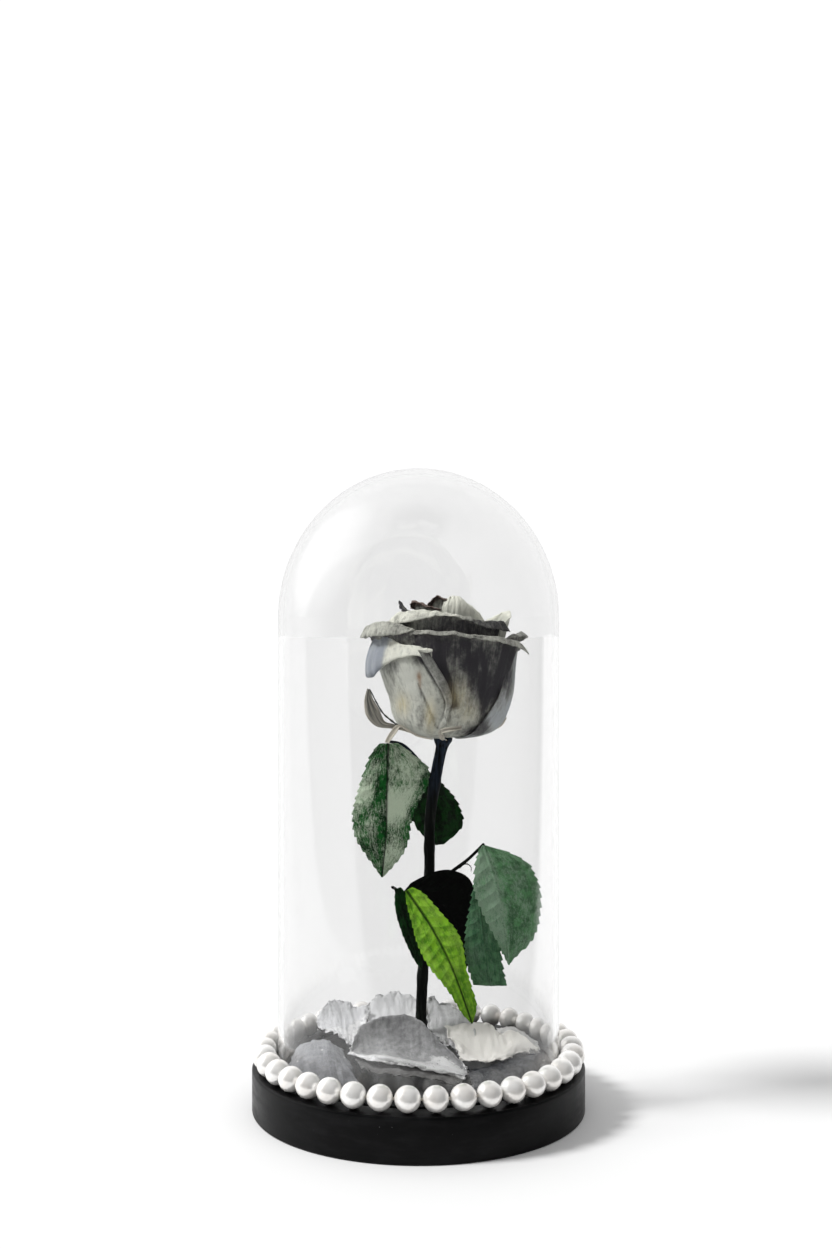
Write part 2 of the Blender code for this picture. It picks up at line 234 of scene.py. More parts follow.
def stretched(tree, source, scale):
    """Coordinates from the Object or UV output, times one scale or a scale for each axis."""
    coordinates = add_node(tree, "ShaderNodeTexCoord").outputs[source]
    scale = scale if isinstance(scale, tuple) else (scale, scale, scale)
    return add_node(tree, "ShaderNodeMapping", {"Vector": coordinates, "Scale": scale}).outputs[0]


def cloud(tree, source, scale, detail=3.0, roughness=0.55):
    """Noise between 0 and 1 at so many repeats a metre (Object) or across the piece (UV)."""
    inputs = {"Vector": stretched(tree, source, scale), "Scale": 1.0}
    inputs.update({"Detail": detail, "Roughness": roughness})
    return add_node(tree, "ShaderNodeTexNoise", inputs).outputs[0]


def specks(tree, size):
    """Small round specks, 1 inside and 0 outside. size is their share of the distance between them."""
    inputs = {"Vector": stretched(tree, "Object", SPECKS_A_METRE), "Scale": 1.0}
    cells = add_node(tree, "ShaderNodeTexVoronoi", inputs).outputs
    kept = calculate("GREATER_THAN", cells["Color"], 0.55)
    return product(remap(cells["Distance"], size, size * 0.6), kept)


def add_bump(shader, height, distance):
    bump = add_node(shader.id_data, "ShaderNodeBump", {"Height": height, "Distance": distance})
    feed(shader, Normal=bump.outputs[0])


def rounded_profile(corners, arc_steps=6):
    """Points in mm through corners given as (radius, height, rounding)."""
    points = []
    for i, (radius, height, rounding) in enumerate(corners):
        corner = Vector((radius, height))
        if not rounding:
            points.append(corner)
            continue
        back = (Vector(corners[i - 1][:2]) - corner).normalized()
        on = (Vector(corners[i + 1][:2]) - corner).normalized()
        half_angle = back.angle(on) / 2
        centre = corner + (back + on).normalized() * rounding / math.sin(half_angle)
        reach = rounding / math.tan(half_angle)
        start, end = corner + back * reach - centre, corner + on * reach - centre
        for k in range(arc_steps + 1):
            points.append(centre + start.lerp(end, k / arc_steps).normalized() * rounding)
    return points


def add_piece(name, mesh, material, node):
    """Puts a mesh in the scene as a piece that rides with the object and stands for its CAD node."""
    piece = new_object(name, mesh)
    mesh.materials.append(material)
    mesh.shade_smooth()
    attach(piece, "root")
    if node:
        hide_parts(node)
    return piece


def turned_mesh(name, profile, steps):
    """A profile in mm, from the axis down the outside and back to the axis, turned once round Z."""
    vertices, rings, faces = [], [], []
    for radius, height in profile:
        turn = np.linspace(0, 2 * math.pi, steps, endpoint=False) if radius > 1e-6 else [0.0]
        rings.append([len(vertices) + k % len(turn) for k in range(steps + 1)])
        vertices += [(radius * math.cos(a) * MM, radius * math.sin(a) * MM, height * MM) for a in turn]
    for upper, lower in zip(rings, rings[1:]):
        for k in range(steps):
            corners = upper[k], lower[k], lower[k + 1], upper[k + 1]
            faces.append(list(dict.fromkeys(corners)))
    return new_mesh(name, vertices, faces)


groove_inner = DOME_RADIUS - GLASS_THICKNESS - GROOVE_CLEARANCE
groove_outer = DOME_RADIUS + GROOVE_CLEARANCE
base_profile = rounded_profile([
    (0.0, BASE_TOP, 0.0),
    (groove_inner, BASE_TOP, GROOVE_EDGE),
    (groove_inner, BASE_TOP - GROOVE_DEPTH, 0.0),
    (groove_outer, BASE_TOP - GROOVE_DEPTH, 0.0),
    (groove_outer, BASE_TOP, GROOVE_EDGE),
    (BASE_RADIUS, BASE_TOP, BASE_EDGE),
    (BASE_RADIUS, 0.0, BASE_EDGE),
    (0.0, 0.0, 0.0),
])
black_paint, tree, shader = start_material("black_paint", Specular_IOR_Level=0.09)
wear = cloud(tree, "Object", (60, 60, 220), detail=5.0, roughness=0.65)
colour = paint(remap(wear, 0.4, 0.75), BASE_BLACK, BASE_WORN)
colour = paint(specks(tree, 0.05), colour, DUST)
feed(shader, Base_Color=colour, Roughness=remap(wear, 0.3, 0.7, 0.3, 0.46))
add_bump(shader, cloud(tree, "Object", (700, 700, 1100)), 0.00003)
base_mesh = turned_mesh("turned_base", base_profile, BASE_STEPS)
add_piece("turned_base", base_mesh, black_paint, "base")


# The stem and the leaf stalks
# One dried green rose stem, nearly black, with long ridges and a few scars where leaves fell. It swells to
# the hip that holds the petals. Three thin stalks leave it and carry the leaflets.
STEM_PATH = [
    ((0.2, 0.0, 17.8), 2.4), ((0.5, 0.3, 28.0), 2.2), ((1.1, 0.6, 40.0), 2.15), ((1.8, 0.8, 54.0), 2.15),
    ((2.8, 0.9, 68.0), 2.1), ((3.7, 0.8, 80.0), 2.1), ((4.3, 0.6, 92.0), 2.15), ((4.4, 0.4, 104.0), 2.1),
    ((4.6, 0.2, 116.0), 2.15), ((5.9, 0.0, 127.5), 2.25), ((7.9, 0.0, 138.5), 2.3), ((9.3, 0.0, 145.4), 2.4),
    ((9.7, 0.0, 148.0), 3.4), ((10.0, 0.0, 149.6), 3.9), ((10.2, 0.0, 151.6), 2.4), ((10.4, 0.0, 153.8), 0.5),
]
STEM_RIDGES = 7
STEM_SCARS = [(0.19, 2.0), (0.33, 4.4), (0.47, 0.6), (0.62, 3.3)]
STALKS = {
    "leaf_stalk_upper": [(6.4, 1.0, 128.6), (2.2, 5.2, 137.0), (-5.6, 2.6, 146.0), (-12.0, -4.4, 148.6)],
    "leaf_stalk_right": [(4.8, -0.4, 87.4), (12.8, -4.6, 95.4), (19.8, -10.0, 101.8), (25.8, -14.6, 108.6)],
    "leaf_stalk_left": [(2.8, -0.4, 77.4), (-3.6, -2.6, 83.6), (-9.0, -7.6, 89.2), (-10.4, -14.4, 91.4)],
}
STALK_RADIUS = 0.65
STIPULE = [(16.4, -7.0, 97.8), (18.0, -8.0, 99.4), (19.8, -8.8, 99.6), (21.0, -9.2, 98.4), (21.0, -9.2, 96.8)]
STIPULE_RADIUS = 0.32
STEM_BLACK = (0.0012, 0.0018, 0.0014, 1.0)
STEM_GREY = (0.013, 0.018, 0.013, 1.0)
STEM_BLUE_PAINTED_HIGHLIGHT = (0.016, 0.026, 0.045, 1.0)
STEM_STEPS = 260
STEM_SIDES = 36
STALK_STEPS = 60
STALK_SIDES = 14
STIPULE_STEPS = 40
STIPULE_SIDES = 10
# Heights in metres over which the stem turns blue at the top, as a painted highlight, and grey at the foot
PAINTED_HIGHLIGHT_HEIGHTS = (0.118, 0.145)
GREY_HEIGHTS = (0.05, 0.025)


def along_curve(points, t):
    """Points at t, from 0 to 1 and a little past it, of a smooth curve through evenly spaced points."""
    points = np.array(points, float)
    last = len(points) - 1
    place = np.asarray(t, float) * last
    i = np.clip(place.astype(int), 0, last - 1)
    f = (place - i).reshape(place.shape + (1,) * (points.ndim - 1))
    a, b, c, d = points[np.maximum(i - 1, 0)], points[i], points[i + 1], points[np.minimum(i + 2, last)]
    curve = (2 * b + (c - a) * f + (2 * a - 5 * b + 4 * c - d) * f**2 + (3 * b - a - 3 * c + d) * f**3) / 2
    return np.where(f <= 1, curve, c + (d - b + c - a) / 4 * (f - 1))


def tube_mesh(name, path, steps, radius, around):
    """A closed tube along a path of points in mm. radius(t, angle) gives its surface, t from 0 to 1."""
    line = along_curve(path, np.linspace(0, 1, steps))
    forward = np.gradient(line, axis=0)
    forward /= np.linalg.norm(forward, axis=1, keepdims=True)
    side = np.cross(forward[0], (0.0, 1.0, 0.3))
    angles = np.linspace(0, 2 * math.pi, around, endpoint=False)
    vertices = []
    for k, (place, ahead) in enumerate(zip(line, forward)):
        side = side - ahead * np.dot(side, ahead)
        side /= np.linalg.norm(side)
        up = np.cross(ahead, side)
        reach = np.array([radius(k / (steps - 1), angle) for angle in angles])[:, None]
        vertices += list(place + reach * (np.cos(angles)[:, None] * side + np.sin(angles)[:, None] * up))
    faces = []
    for first in range(0, (steps - 1) * around, around):
        for j in range(around):
            after = (j + 1) % around
            faces.append([first + j, first + after, first + around + after, first + around + j])
    end = len(vertices) - around
    faces += [list(range(around))[::-1], list(range(end, end + around))]
    return new_mesh(name, [tuple(v * MM) for v in vertices], faces)


def stem_radius(t, angle):
    """The stem's own thickness with its ridges, small knots and scars."""
    bare = float(along_curve([[r] for _, r in STEM_PATH], t)[0])
    ridges = 0.07 * math.sin(STEM_RIDGES * angle + 9 * t) + 0.06 * math.sin(3 * angle + 40 * t)
    rough = 0.1 * noise.noise(Vector((2 * math.cos(angle), 2 * math.sin(angle), 60 * t)))
    scars = sum(
        0.5 * math.exp(-(((t - place) / 0.012) ** 2)) * (0.4 + 0.6 * math.cos((angle - facing) / 2) ** 2)
        for place, facing in STEM_SCARS
    )
    return max(bare + ridges + rough + scars * 0.7, 0.3)


def stalk_radius(t, angle):
    return STALK_RADIUS * (1.25 - 0.4 * t + 0.5 * (1 - t) ** 8)


def stipule_radius(t, angle):
    return STIPULE_RADIUS * (1.15 - 0.8 * t)


stem_skin, tree, shader = start_material("dried_stem", Specular_IOR_Level=0.05, Roughness=0.5)
height = add_node(tree, "ShaderNodeSeparateXYZ", {0: stretched(tree, "Object", 1)}).outputs["Z"]
streaks = cloud(tree, "Object", (900, 900, 60), detail=4.0)
colour = paint(remap(streaks, 0.5, 0.75), STEM_BLACK, STEM_GREY)
# The blue near the top, along the streaks, is a painted highlight
bluish = product(remap(height, *PAINTED_HIGHLIGHT_HEIGHTS), remap(streaks, 0.35, 0.6))
colour = paint(bluish, colour, STEM_BLUE_PAINTED_HIGHLIGHT)
greyish = product(remap(height, *GREY_HEIGHTS), remap(streaks, 0.4, 0.65))
feed(shader, Base_Color=paint(greyish, colour, STEM_GREY))
add_bump(shader, streaks, 0.00015)

line = [place for place, _ in STEM_PATH]
stem_mesh = tube_mesh("rose_stem", line, STEM_STEPS, stem_radius, STEM_SIDES)
add_piece("rose_stem", stem_mesh, stem_skin, "stem")
for node, path in STALKS.items():
    name = node.replace("leaf_stalk", "stalk")
    mesh = tube_mesh(name, path, STALK_STEPS, stalk_radius, STALK_SIDES)
    add_piece(name, mesh, stem_skin, node)
mesh = tube_mesh("stipule", STIPULE, STIPULE_STEPS, stipule_radius, STIPULE_SIDES)
add_piece("stipule", mesh, stem_skin, None)


# The leaflets
# Seven preserved rose leaflets, thin and leathery, with toothed edges and sunken veins. Some of the silver
# paint has dusted the upper left one. The one in front at the bottom is yellow green, painted brighter as
# light shining through it; the middle one is painted near black, as painted shade.
LEAF_THICKNESS = 0.32
LEAF_COLUMNS = 64
LEAF_ROWS = 150
VEIN_SPACING = 4.6
VEIN_WIDTH = 0.32
# Each leaflet by its midrib's points from stalk to tip, the widths of its left and right halves at even steps
# along it, the direction across it, how far its sides bend away, its teeth and its green
LEAFLETS = {
    "leaflet_upper_left": (
        [(-12.3, -5.2, 147.8), (-12.8, -7.4, 129.0), (-13.2, -7.0, 111.0), (-14.9, -4.4, 93.8)],
        (3.6, 7.0, 9.4, 11.4, 13.0, 14.1, 13.7, 12.0, 7.8, 3.3, 0.2),
        (4.0, 10.0, 17.0, 17.2, 14.0, 11.4, 10.2, 9.8, 8.0, 3.8, 0.3),
        (1.0, 0.22, 0.0), (0.0, 3.2, 0.0), 1.0, "dusted",
    ),
    "leaflet_upper_right": (
        [(2.4, 7.4, 135.6), (4.2, 9.2, 126.0), (6.2, 9.6, 115.6), (8.2, 8.4, 104.8)],
        (1.0, 5.4, 9.2, 9.4, 7.0, 1.0), (1.0, 5.6, 10.0, 12.0, 11.2, 2.2),
        (1.0, 0.1, 0.1), (0.0, 2.4, 0.0), 0.8, "dark",
    ),
    "leaflet_middle": (
        [(-5.2, -9.0, 89.4), (5.0, -12.0, 88.0), (13.6, -13.4, 78.6), (19.6, -12.6, 60.0)],
        (3.0, 7.8, 9.4, 9.6, 7.6, 0.6), (3.2, 9.8, 13.0, 14.6, 11.0, 1.6),
        (0.62, 0.0, 0.78), (0.0, 3.0, 0.0), 0.0, "black",
    ),
    "leaflet_lower_front": (
        [(-4.8, -15.6, 90.4), (5.4, -18.4, 75.6), (13.6, -19.4, 59.4), (21.0, -17.4, 38.2)],
        (0.5, 2.6, 4.8, 7.0, 8.6, 8.8, 7.8, 5.8, 4.0, 2.6, 0.3),
        (2.6, 5.0, 5.8, 6.6, 7.6, 7.8, 6.8, 5.2, 4.6, 4.0, 0.3),
        (0.88, 0.0, 0.46), (0.0, 2.2, 0.0), 0.6, "fresh",
    ),
    "leaflet_lower_left": (
        [(-8.6, -13.6, 90.8), (-5.8, -14.2, 80.0), (-2.0, -13.2, 69.0), (1.2, -11.4, 58.0)],
        (0.8, 2.4, 3.0, 3.0, 2.0, 0.2), (1.4, 4.6, 4.8, 4.0, 2.4, 0.2),
        (0.95, 0.1, 0.3), (0.0, 1.0, 0.0), 0.35, "dark",
    ),
    "leaflet_right_front": (
        [(25.6, -14.8, 108.0), (30.2, -18.8, 94.0), (33.6, -20.0, 77.0), (35.4, -18.4, 61.6)],
        (0.6, 6.4, 9.4, 7.4, 3.4, 0.2), (1.0, 9.6, 15.8, 17.2, 17.8, 17.0, 15.2, 13.0, 9.6, 3.6, 0.3),
        (0.97, 0.22, 0.0), (0.0, 3.4, 0.0), 1.0, "matt",
    ),
    "leaflet_right_back": (
        [(25.0, -13.2, 107.0), (24.2, -15.0, 88.4), (25.6, -15.6, 70.4), (28.6, -14.4, 52.2)],
        (1.0, 1.8, 4.0, 6.6, 8.0, 6.8), (1.0, 4.8, 7.2, 7.0, 6.2, 6.4),
        (0.99, -0.06, 0.0), (0.0, 1.4, 0.0), 1.0, "bluish",
    ),
}
LEAF_TOOTH_PITCH = 3.0
# Each green by its deep colour, light colour, bloom's colour, how much bloom shows and how dark its midrib is
LEAF_GREENS = {
    "dusted": ((0.001, 0.026, 0.004), (0.006, 0.1, 0.014), (0.56, 0.66, 0.5), 0.95, 0.9),
    # The dark green is deep green with painted shade for leaflets that hang in shadow; the black is painted
    # shade alone
    "dark": ((0.0002, 0.005, 0.0003), (0.0012, 0.032, 0.002), (0.1, 0.15, 0.1), 0.1, 0.0),
    "black": ((0.0, 0.0, 0.0), (0.0003, 0.001, 0.0003), (0.01, 0.014, 0.01), 0.0, 0.0),
    # The front leaflet's yellow green is painted brighter, as light shining through it
    "fresh": ((0.07, 0.23, 0.008), (0.21, 0.48, 0.02), (0.42, 0.58, 0.12), 0.4, 0.9),
    "matt": ((0.04, 0.105, 0.046), (0.085, 0.22, 0.092), (0.23, 0.33, 0.235), 0.85, 0.0),
    "bluish": ((0.03, 0.09, 0.042), (0.072, 0.18, 0.084), (0.14, 0.22, 0.15), 0.7, 0.0),
}


def grid(columns, rows):
    """u from -1 to 1 across and v from 0 to 1 along, at each point of a sheet."""
    return np.meshgrid(np.linspace(-1, 1, columns + 1), np.linspace(0, 1, rows + 1))


def surface_normals(points):
    normal = np.cross(np.gradient(points, axis=1), np.gradient(points, axis=0))
    return normal / np.maximum(np.linalg.norm(normal, axis=-1, keepdims=True), 1e-9)


def smooth(x):
    x = np.clip(x, 0.0, 1.0)
    return x * x * (3 - 2 * x)


def raised(points, relief):
    return points + surface_normals(points) * relief[..., None]


def bell(x):
    return np.exp(-(x**2))


def grain(u, v, seed, *layers):
    """Smooth noise over a sheet, in layers of strength, repeats across, repeats along and step in seed."""
    def layer(strength, across, along, step):
        places = zip((u * across).ravel(), (v * along).ravel())
        heights = [noise.noise(Vector((x, y, seed + step))) for x, y in places]
        return strength * np.array(heights).reshape(u.shape)

    return sum(layer(*row) for row in layers)


def add_sheet(name, points, values, thickness, material, node):
    """A petal or leaf through a grid of points, with a UV map and an attribute for each named value."""
    rows, columns = points.shape[:2]
    index = np.arange(rows * columns).reshape(rows, columns)
    faces = [index[:-1, :-1], index[:-1, 1:], index[1:, 1:], index[1:, :-1]]
    faces = np.stack(faces, axis=-1).reshape(-1, 4)
    mesh = new_mesh(name, (points.reshape(-1, 3) * MM).tolist(), faces.tolist())
    u, v = np.meshgrid(np.linspace(0, 1, columns), np.linspace(0, 1, rows))
    place = np.stack([u.ravel(), v.ravel()], axis=-1)[faces.ravel()]
    mesh.uv_layers.new(name="UVMap").data.foreach_set("uv", place.ravel())
    for key, value in values.items():
        value = np.broadcast_to(value, (rows, columns)).astype(np.float32).ravel()
        mesh.attributes.new(key, "FLOAT", "POINT").data.foreach_set("value", value)
    solid = add_piece(name, mesh, material, node).modifiers.new("Thickness", "SOLIDIFY")
    solid.thickness = thickness * MM
    solid.offset = 0.0


def attribute(tree, name):
    return add_node(tree, "ShaderNodeAttribute", attribute_name=name).outputs["Fac"]


def leaf_material(name, deep, light, bloom, bloom_share, dark_midrib):
    """Leaf green that is mottled, and dulled by bloom or paint dust. Its veins are darker."""
    material, tree, shader = start_material(f"leaf_{name}", Roughness=0.62, Specular_IOR_Level=0.03)
    mottle = cloud(tree, "Object", 260, detail=6.0, roughness=0.7)
    along = cloud(tree, "UV", (9, 5, 1), detail=4.0)
    shade = total(remap(mottle, 0.34, 0.66), remap(along, 0.34, 0.66, -0.35, 0.35))
    colour = paint(remap(shade, 0.0, 1.0), (*deep, 1), (*light, 1))
    colour = paint(product(attribute(tree, "vein"), 0.5), colour, (*deep, 1))
    if bloom_share:
        flecks = cloud(tree, "Object", (2300, 2300, 2000), detail=4.0, roughness=0.7)
        creases = cloud(tree, "UV", (34, 22, 1), detail=5.0, roughness=0.7)
        patches = cloud(tree, "Object", (150, 150, 110), detail=4.0, roughness=0.6)
        cover = total(
            attribute(tree, "bloom"),
            remap(patches, 0.3, 0.7, -0.25, 0.25),
            remap(flecks, 0.3, 0.7, -0.22, 0.22),
            remap(creases, 0.32, 0.68, -0.26, 0.26),
        )
        colour = paint(remap(cover, 0.1, 1.1, 0.0, bloom_share), colour, (*bloom, 1))
    if dark_midrib:
        colour = paint(product(attribute(tree, "midrib"), dark_midrib), colour, STEM_BLACK)
    feed(shader, Base_Color=colour)
    add_bump(shader, cloud(tree, "Object", 1300, detail=4.0), 0.0001)
    return material


def leaf_points(spine, left, right, across, bend, tooth, seed):
    """A blade along its midrib, with toothed edges, sunken veins and a slightly buckled margin."""
    u, v = grid(LEAF_COLUMNS, LEAF_ROWS)
    across = np.array(Vector(across).normalized())
    middle = along_curve(spine, v)
    length = np.linalg.norm(np.diff(middle[:, 0], axis=0), axis=1).sum()
    widths = [np.maximum(along_curve([[w] for w in side], v)[..., 0], 0.15) for side in (left, right)]
    width = np.where(u < 0, *widths)
    jitter = 0.3 * np.sign(u) + grain(np.sign(u), v, seed, (0.3, 3.0, 6.0, 0))
    saw = (v * length / LEAF_TOOTH_PITCH + jitter) % 1.0
    width = width + tooth * (saw - 0.6) * np.abs(u) ** 8 * smooth(np.sin(math.pi * np.clip(v, 0, 1)) * 3)
    bulge = np.array(bend) * ((u * width / max(*left, *right)) ** 2)[..., None]
    points = middle + across * (width * u)[..., None] + bulge
    aside = np.abs(u) * width
    order = (v * length - 0.75 * aside + 0.03 * aside**2) / VEIN_SPACING
    off_vein = order - np.round(order)
    inside = smooth((1 - np.abs(u)) / 0.25)
    side_vein = bell(np.abs(off_vein) * VEIN_SPACING / VEIN_WIDTH) * smooth(aside / 0.6) * inside
    midrib = bell(aside / (0.5 * (1 - 0.6 * v)))
    swell = np.cos(math.pi * off_vein) ** 2
    relief = -0.22 * side_vein - 0.5 * midrib - 0.25 * swell * smooth(aside / 2) * inside
    relief += grain(u, v, seed, (1.1, 2.0, 3.6, 0)) * np.abs(u) ** 1.5 + grain(u, v, seed, (0.12, 14, 30, 5))
    return raised(points, relief), np.clip(side_vein * 0.6 + midrib, 0, 1), midrib


leaf_materials = {name: leaf_material(name, *green) for name, green in LEAF_GREENS.items()}
u, v = grid(LEAF_COLUMNS, LEAF_ROWS)
right_half = smooth(u / 0.1 + 0.5)
dusted = 0.2 * smooth((0.3 - v) / 0.1) + 0.1 + 0.28 * right_half
dusted = dusted + 0.75 * (right_half * bell((v - 0.44) / 0.17) * smooth((0.9 - u) / 0.4))
dusted = dusted + 0.75 * (bell((v - 0.34) / 0.13) * smooth((-u - 0.3) / 0.3))
dusted = dusted + 0.3 * smooth((v - 0.45) / 0.1) * smooth((-u - 0.1) / 0.3)
dusted = dusted + 0.5 * (smooth((v - 0.72) / 0.12) * smooth((u + 0.2) / 0.3))
matt = 0.85 - 0.5 * smooth((u + 0.1) / 0.4) + 0.3 * smooth((u - 0.75) / 0.25)
leaf_bloom = {"dusted": dusted, "matt": matt}
for seed, (node, (*shape, green)) in enumerate(LEAFLETS.items()):
    points, vein, midrib = leaf_points(*shape, seed * 3.7)
    values = {"vein": vein, "midrib": midrib, "bloom": leaf_bloom.get(green, 0.5)}
    name = node.replace("leaflet", "leaf")
    add_sheet(name, points, values, LEAF_THICKNESS, leaf_materials[green], node)


# The sepals
# Five narrow dried sepals that grow from the hip under the flower. They have curled as they dried, and are
# cream to grey. The left one has a thin side lobe that stands free of its blade.
SEPAL_THICKNESS = 0.28
# Each sepal by the points of its two edges from the hip to its tip
SEPALS = {
    "sepal_left": (
        [(6.0, -3.0, 150.4), (0.5, -3.6, 152.0), (-4.6, -5.2, 153.8), (-9.6, -7.4, 155.6),
         (-13.6, -8.8, 156.8), (-16.0, -9.4, 162.0), (-18.6, -9.8, 166.6), (-19.8, -10.0, 169.8)],
        [(6.0, -4.6, 150.2), (0.5, -5.6, 151.6), (-4.8, -7.0, 153.0), (-10.4, -7.8, 154.0),
         (-16.8, -8.2, 154.8), (-20.8, -8.8, 158.8), (-21.8, -9.4, 164.6), (-20.6, -9.8, 170.2)],
    ),
    "sepal_hanging": (
        [(5.6, -6.0, 149.4), (-1.0, -9.2, 151.2), (-6.8, -10.8, 154.8), (-8.8, -11.6, 152.6),
         (-12.0, -12.0, 148.4)],
        [(5.6, -5.0, 149.4), (-1.0, -8.2, 151.0), (-7.8, -10.4, 155.2), (-11.4, -11.2, 152.6),
         (-13.4, -11.8, 148.8)],
    ),
    "sepal_front": (
        [(9.8, -4.6, 149.4), (8.6, -12.0, 150.6), (7.8, -20.0, 153.4), (9.6, -23.4, 155.0),
         (16.6, -23.8, 156.2)],
        [(11.4, -4.4, 149.4), (10.4, -11.8, 150.4), (10.0, -19.6, 152.6), (9.6, -23.4, 153.4),
         (16.8, -24.0, 155.0)],
    ),
    "sepal_right": (
        [(15.0, -1.8, 150.4), (21.6, -2.6, 151.6), (27.8, -3.4, 153.2), (32.4, -3.8, 155.2),
         (34.6, -4.2, 158.4)],
        [(15.0, -0.4, 150.2), (21.6, -1.2, 151.2), (28.0, -2.2, 152.8), (33.2, -3.2, 154.8),
         (35.6, -3.8, 158.2)],
    ),
    "sepal_back": (
        [(9.4, 4.6, 149.2), (7.4, 10.6, 150.0), (5.8, 17.6, 151.6), (5.0, 23.8, 155.0), (5.4, 27.8, 160.4)],
        [(11.0, 4.6, 149.2), (10.2, 10.6, 149.8), (8.8, 17.6, 151.2), (7.4, 24.2, 154.2),
         (6.2, 28.4, 160.2)],
    ),
}
SEPAL_PALENESS = {
    "sepal_left": 0.3, "sepal_hanging": 0.95, "sepal_front": 0.55, "sepal_right": 0.8, "sepal_back": 0.5,
}
SEPAL_COLUMNS = 16
SEPAL_ROWS = 70
TWIG_STEPS = 50
TWIG_SIDES = 10
SEPAL_TWIG = [
    (-8.2, -8.2, 155.2), (-11.4, -8.6, 157.6), (-14.4, -9.0, 160.4), (-17.2, -9.4, 165.2),
    (-19.6, -10.0, 170.0),
]
SEPAL_TWIG_RADIUS = 0.34
SEPAL_CREAM = (0.58, 0.54, 0.46, 1.0)
SEPAL_GREY = (0.085, 0.09, 0.082, 1.0)


def twig_radius(t, angle):
    return SEPAL_TWIG_RADIUS * (1.3 - 0.6 * t) * (1 + 0.2 * math.sin(37 * t))


sepal_skin, tree, shader = start_material("dried_sepal", Roughness=0.65, Specular_IOR_Level=0.3)
fibre = cloud(tree, "UV", (7, 3, 1), detail=4.0)
shade = total(remap(fibre, 0.3, 0.7, -0.3, 0.3), attribute(tree, "pale"))
feed(shader, Base_Color=paint(remap(shade, 0.0, 1.0), SEPAL_GREY, SEPAL_CREAM))
add_bump(shader, fibre, 0.0001)
u, v = grid(SEPAL_COLUMNS, SEPAL_ROWS)
for seed, (node, edges) in enumerate(SEPALS.items()):
    lines = [along_curve(edge, v[:, 0]) for edge in edges]
    points = np.moveaxis(along_curve(lines, (u[0] + 1) / 2), 0, 1)
    points = raised(points, 0.45 * (np.abs(u) ** 2) + grain(u, v, seed, (0.25, 1.5, 9, 0)))
    values = {"pale": SEPAL_PALENESS[node] + 0.3 * (np.abs(u) ** 3) + 0.2 * (1 - v)}
    add_sheet(node + "_dried", points, values, SEPAL_THICKNESS, sepal_skin, node)
mesh = tube_mesh("sepal_twig", SEPAL_TWIG, TWIG_STEPS, twig_radius, TWIG_SIDES)
add_piece("sepal_twig", mesh, sepal_skin, None)


# The flower
# Twenty-two dried petals set round the hip by the golden angle, from the tight heart to the open outer ones.
# They were sprayed silver: cream where the paint is thin, smoky where it is thick, brown at the heart.
# Shade in their gaps and folds, and a highlight along the crests of the outer ones, are painted on.
PETAL_COUNT = 22
PETAL_THICKNESS = 0.34
PETAL_COLUMNS = 96
PETAL_ROWS = 72
PETAL_FOLD = 0.8
TUBE_START = int(0.84 * PETAL_COLUMNS)
INNER_LAYER = 0.06
INNER_HALF_WIDTH = 96
OUTER_HALF_WIDTH = 54
GOLDEN_ANGLE = 137.5
OUTER_AZIMUTH = -50.0
HEAD_TILT = math.radians(2.5)
HEAD_FOOT = (10.6, 0.0, 149.6)
# Each shell of the flower from its heart (0) to its outermost petal (1): its share, and its radius and height
# at seven places from the foot of a petal to its rim
SHELLS = [
    (0.0, [(0.5, 6.0), (0.8, 14.0), (1.0, 23.0), (1.1, 32.0), (1.0, 41.0), (0.8, 48.0), (0.6, 54.0)]),
    (0.25, [(2.2, 4.8), (5.2, 10.0), (7.0, 18.0), (7.8, 27.4), (7.8, 37.4), (7.0, 46.0), (6.4, 53.0)]),
    (0.5, [(3.8, 3.2), (9.2, 7.0), (13.0, 13.8), (15.0, 22.6), (15.9, 32.6), (15.6, 42.4), (14.4, 50.2)]),
    (0.65, [(4.8, 2.0), (12.0, 4.8), (17.0, 10.6), (19.6, 19.2), (20.8, 29.2), (21.4, 38.4), (24.0, 45.6)]),
    (0.78, [(5.6, 1.2), (14.0, 3.4), (20.0, 8.8), (23.0, 16.8), (24.4, 26.6), (25.2, 35.4), (29.0, 41.0)]),
    (1.0, [(7.0, 0.2), (16.8, 1.6), (23.4, 7.0), (26.3, 15.2), (27.2, 24.4), (27.4, 32.4), (28.6, 38.0)]),
]
LEFT_TAPER = 0.14
TAPER_TOP = 33
TAPER_LENGTH = 20
TUBE_TURN = 330
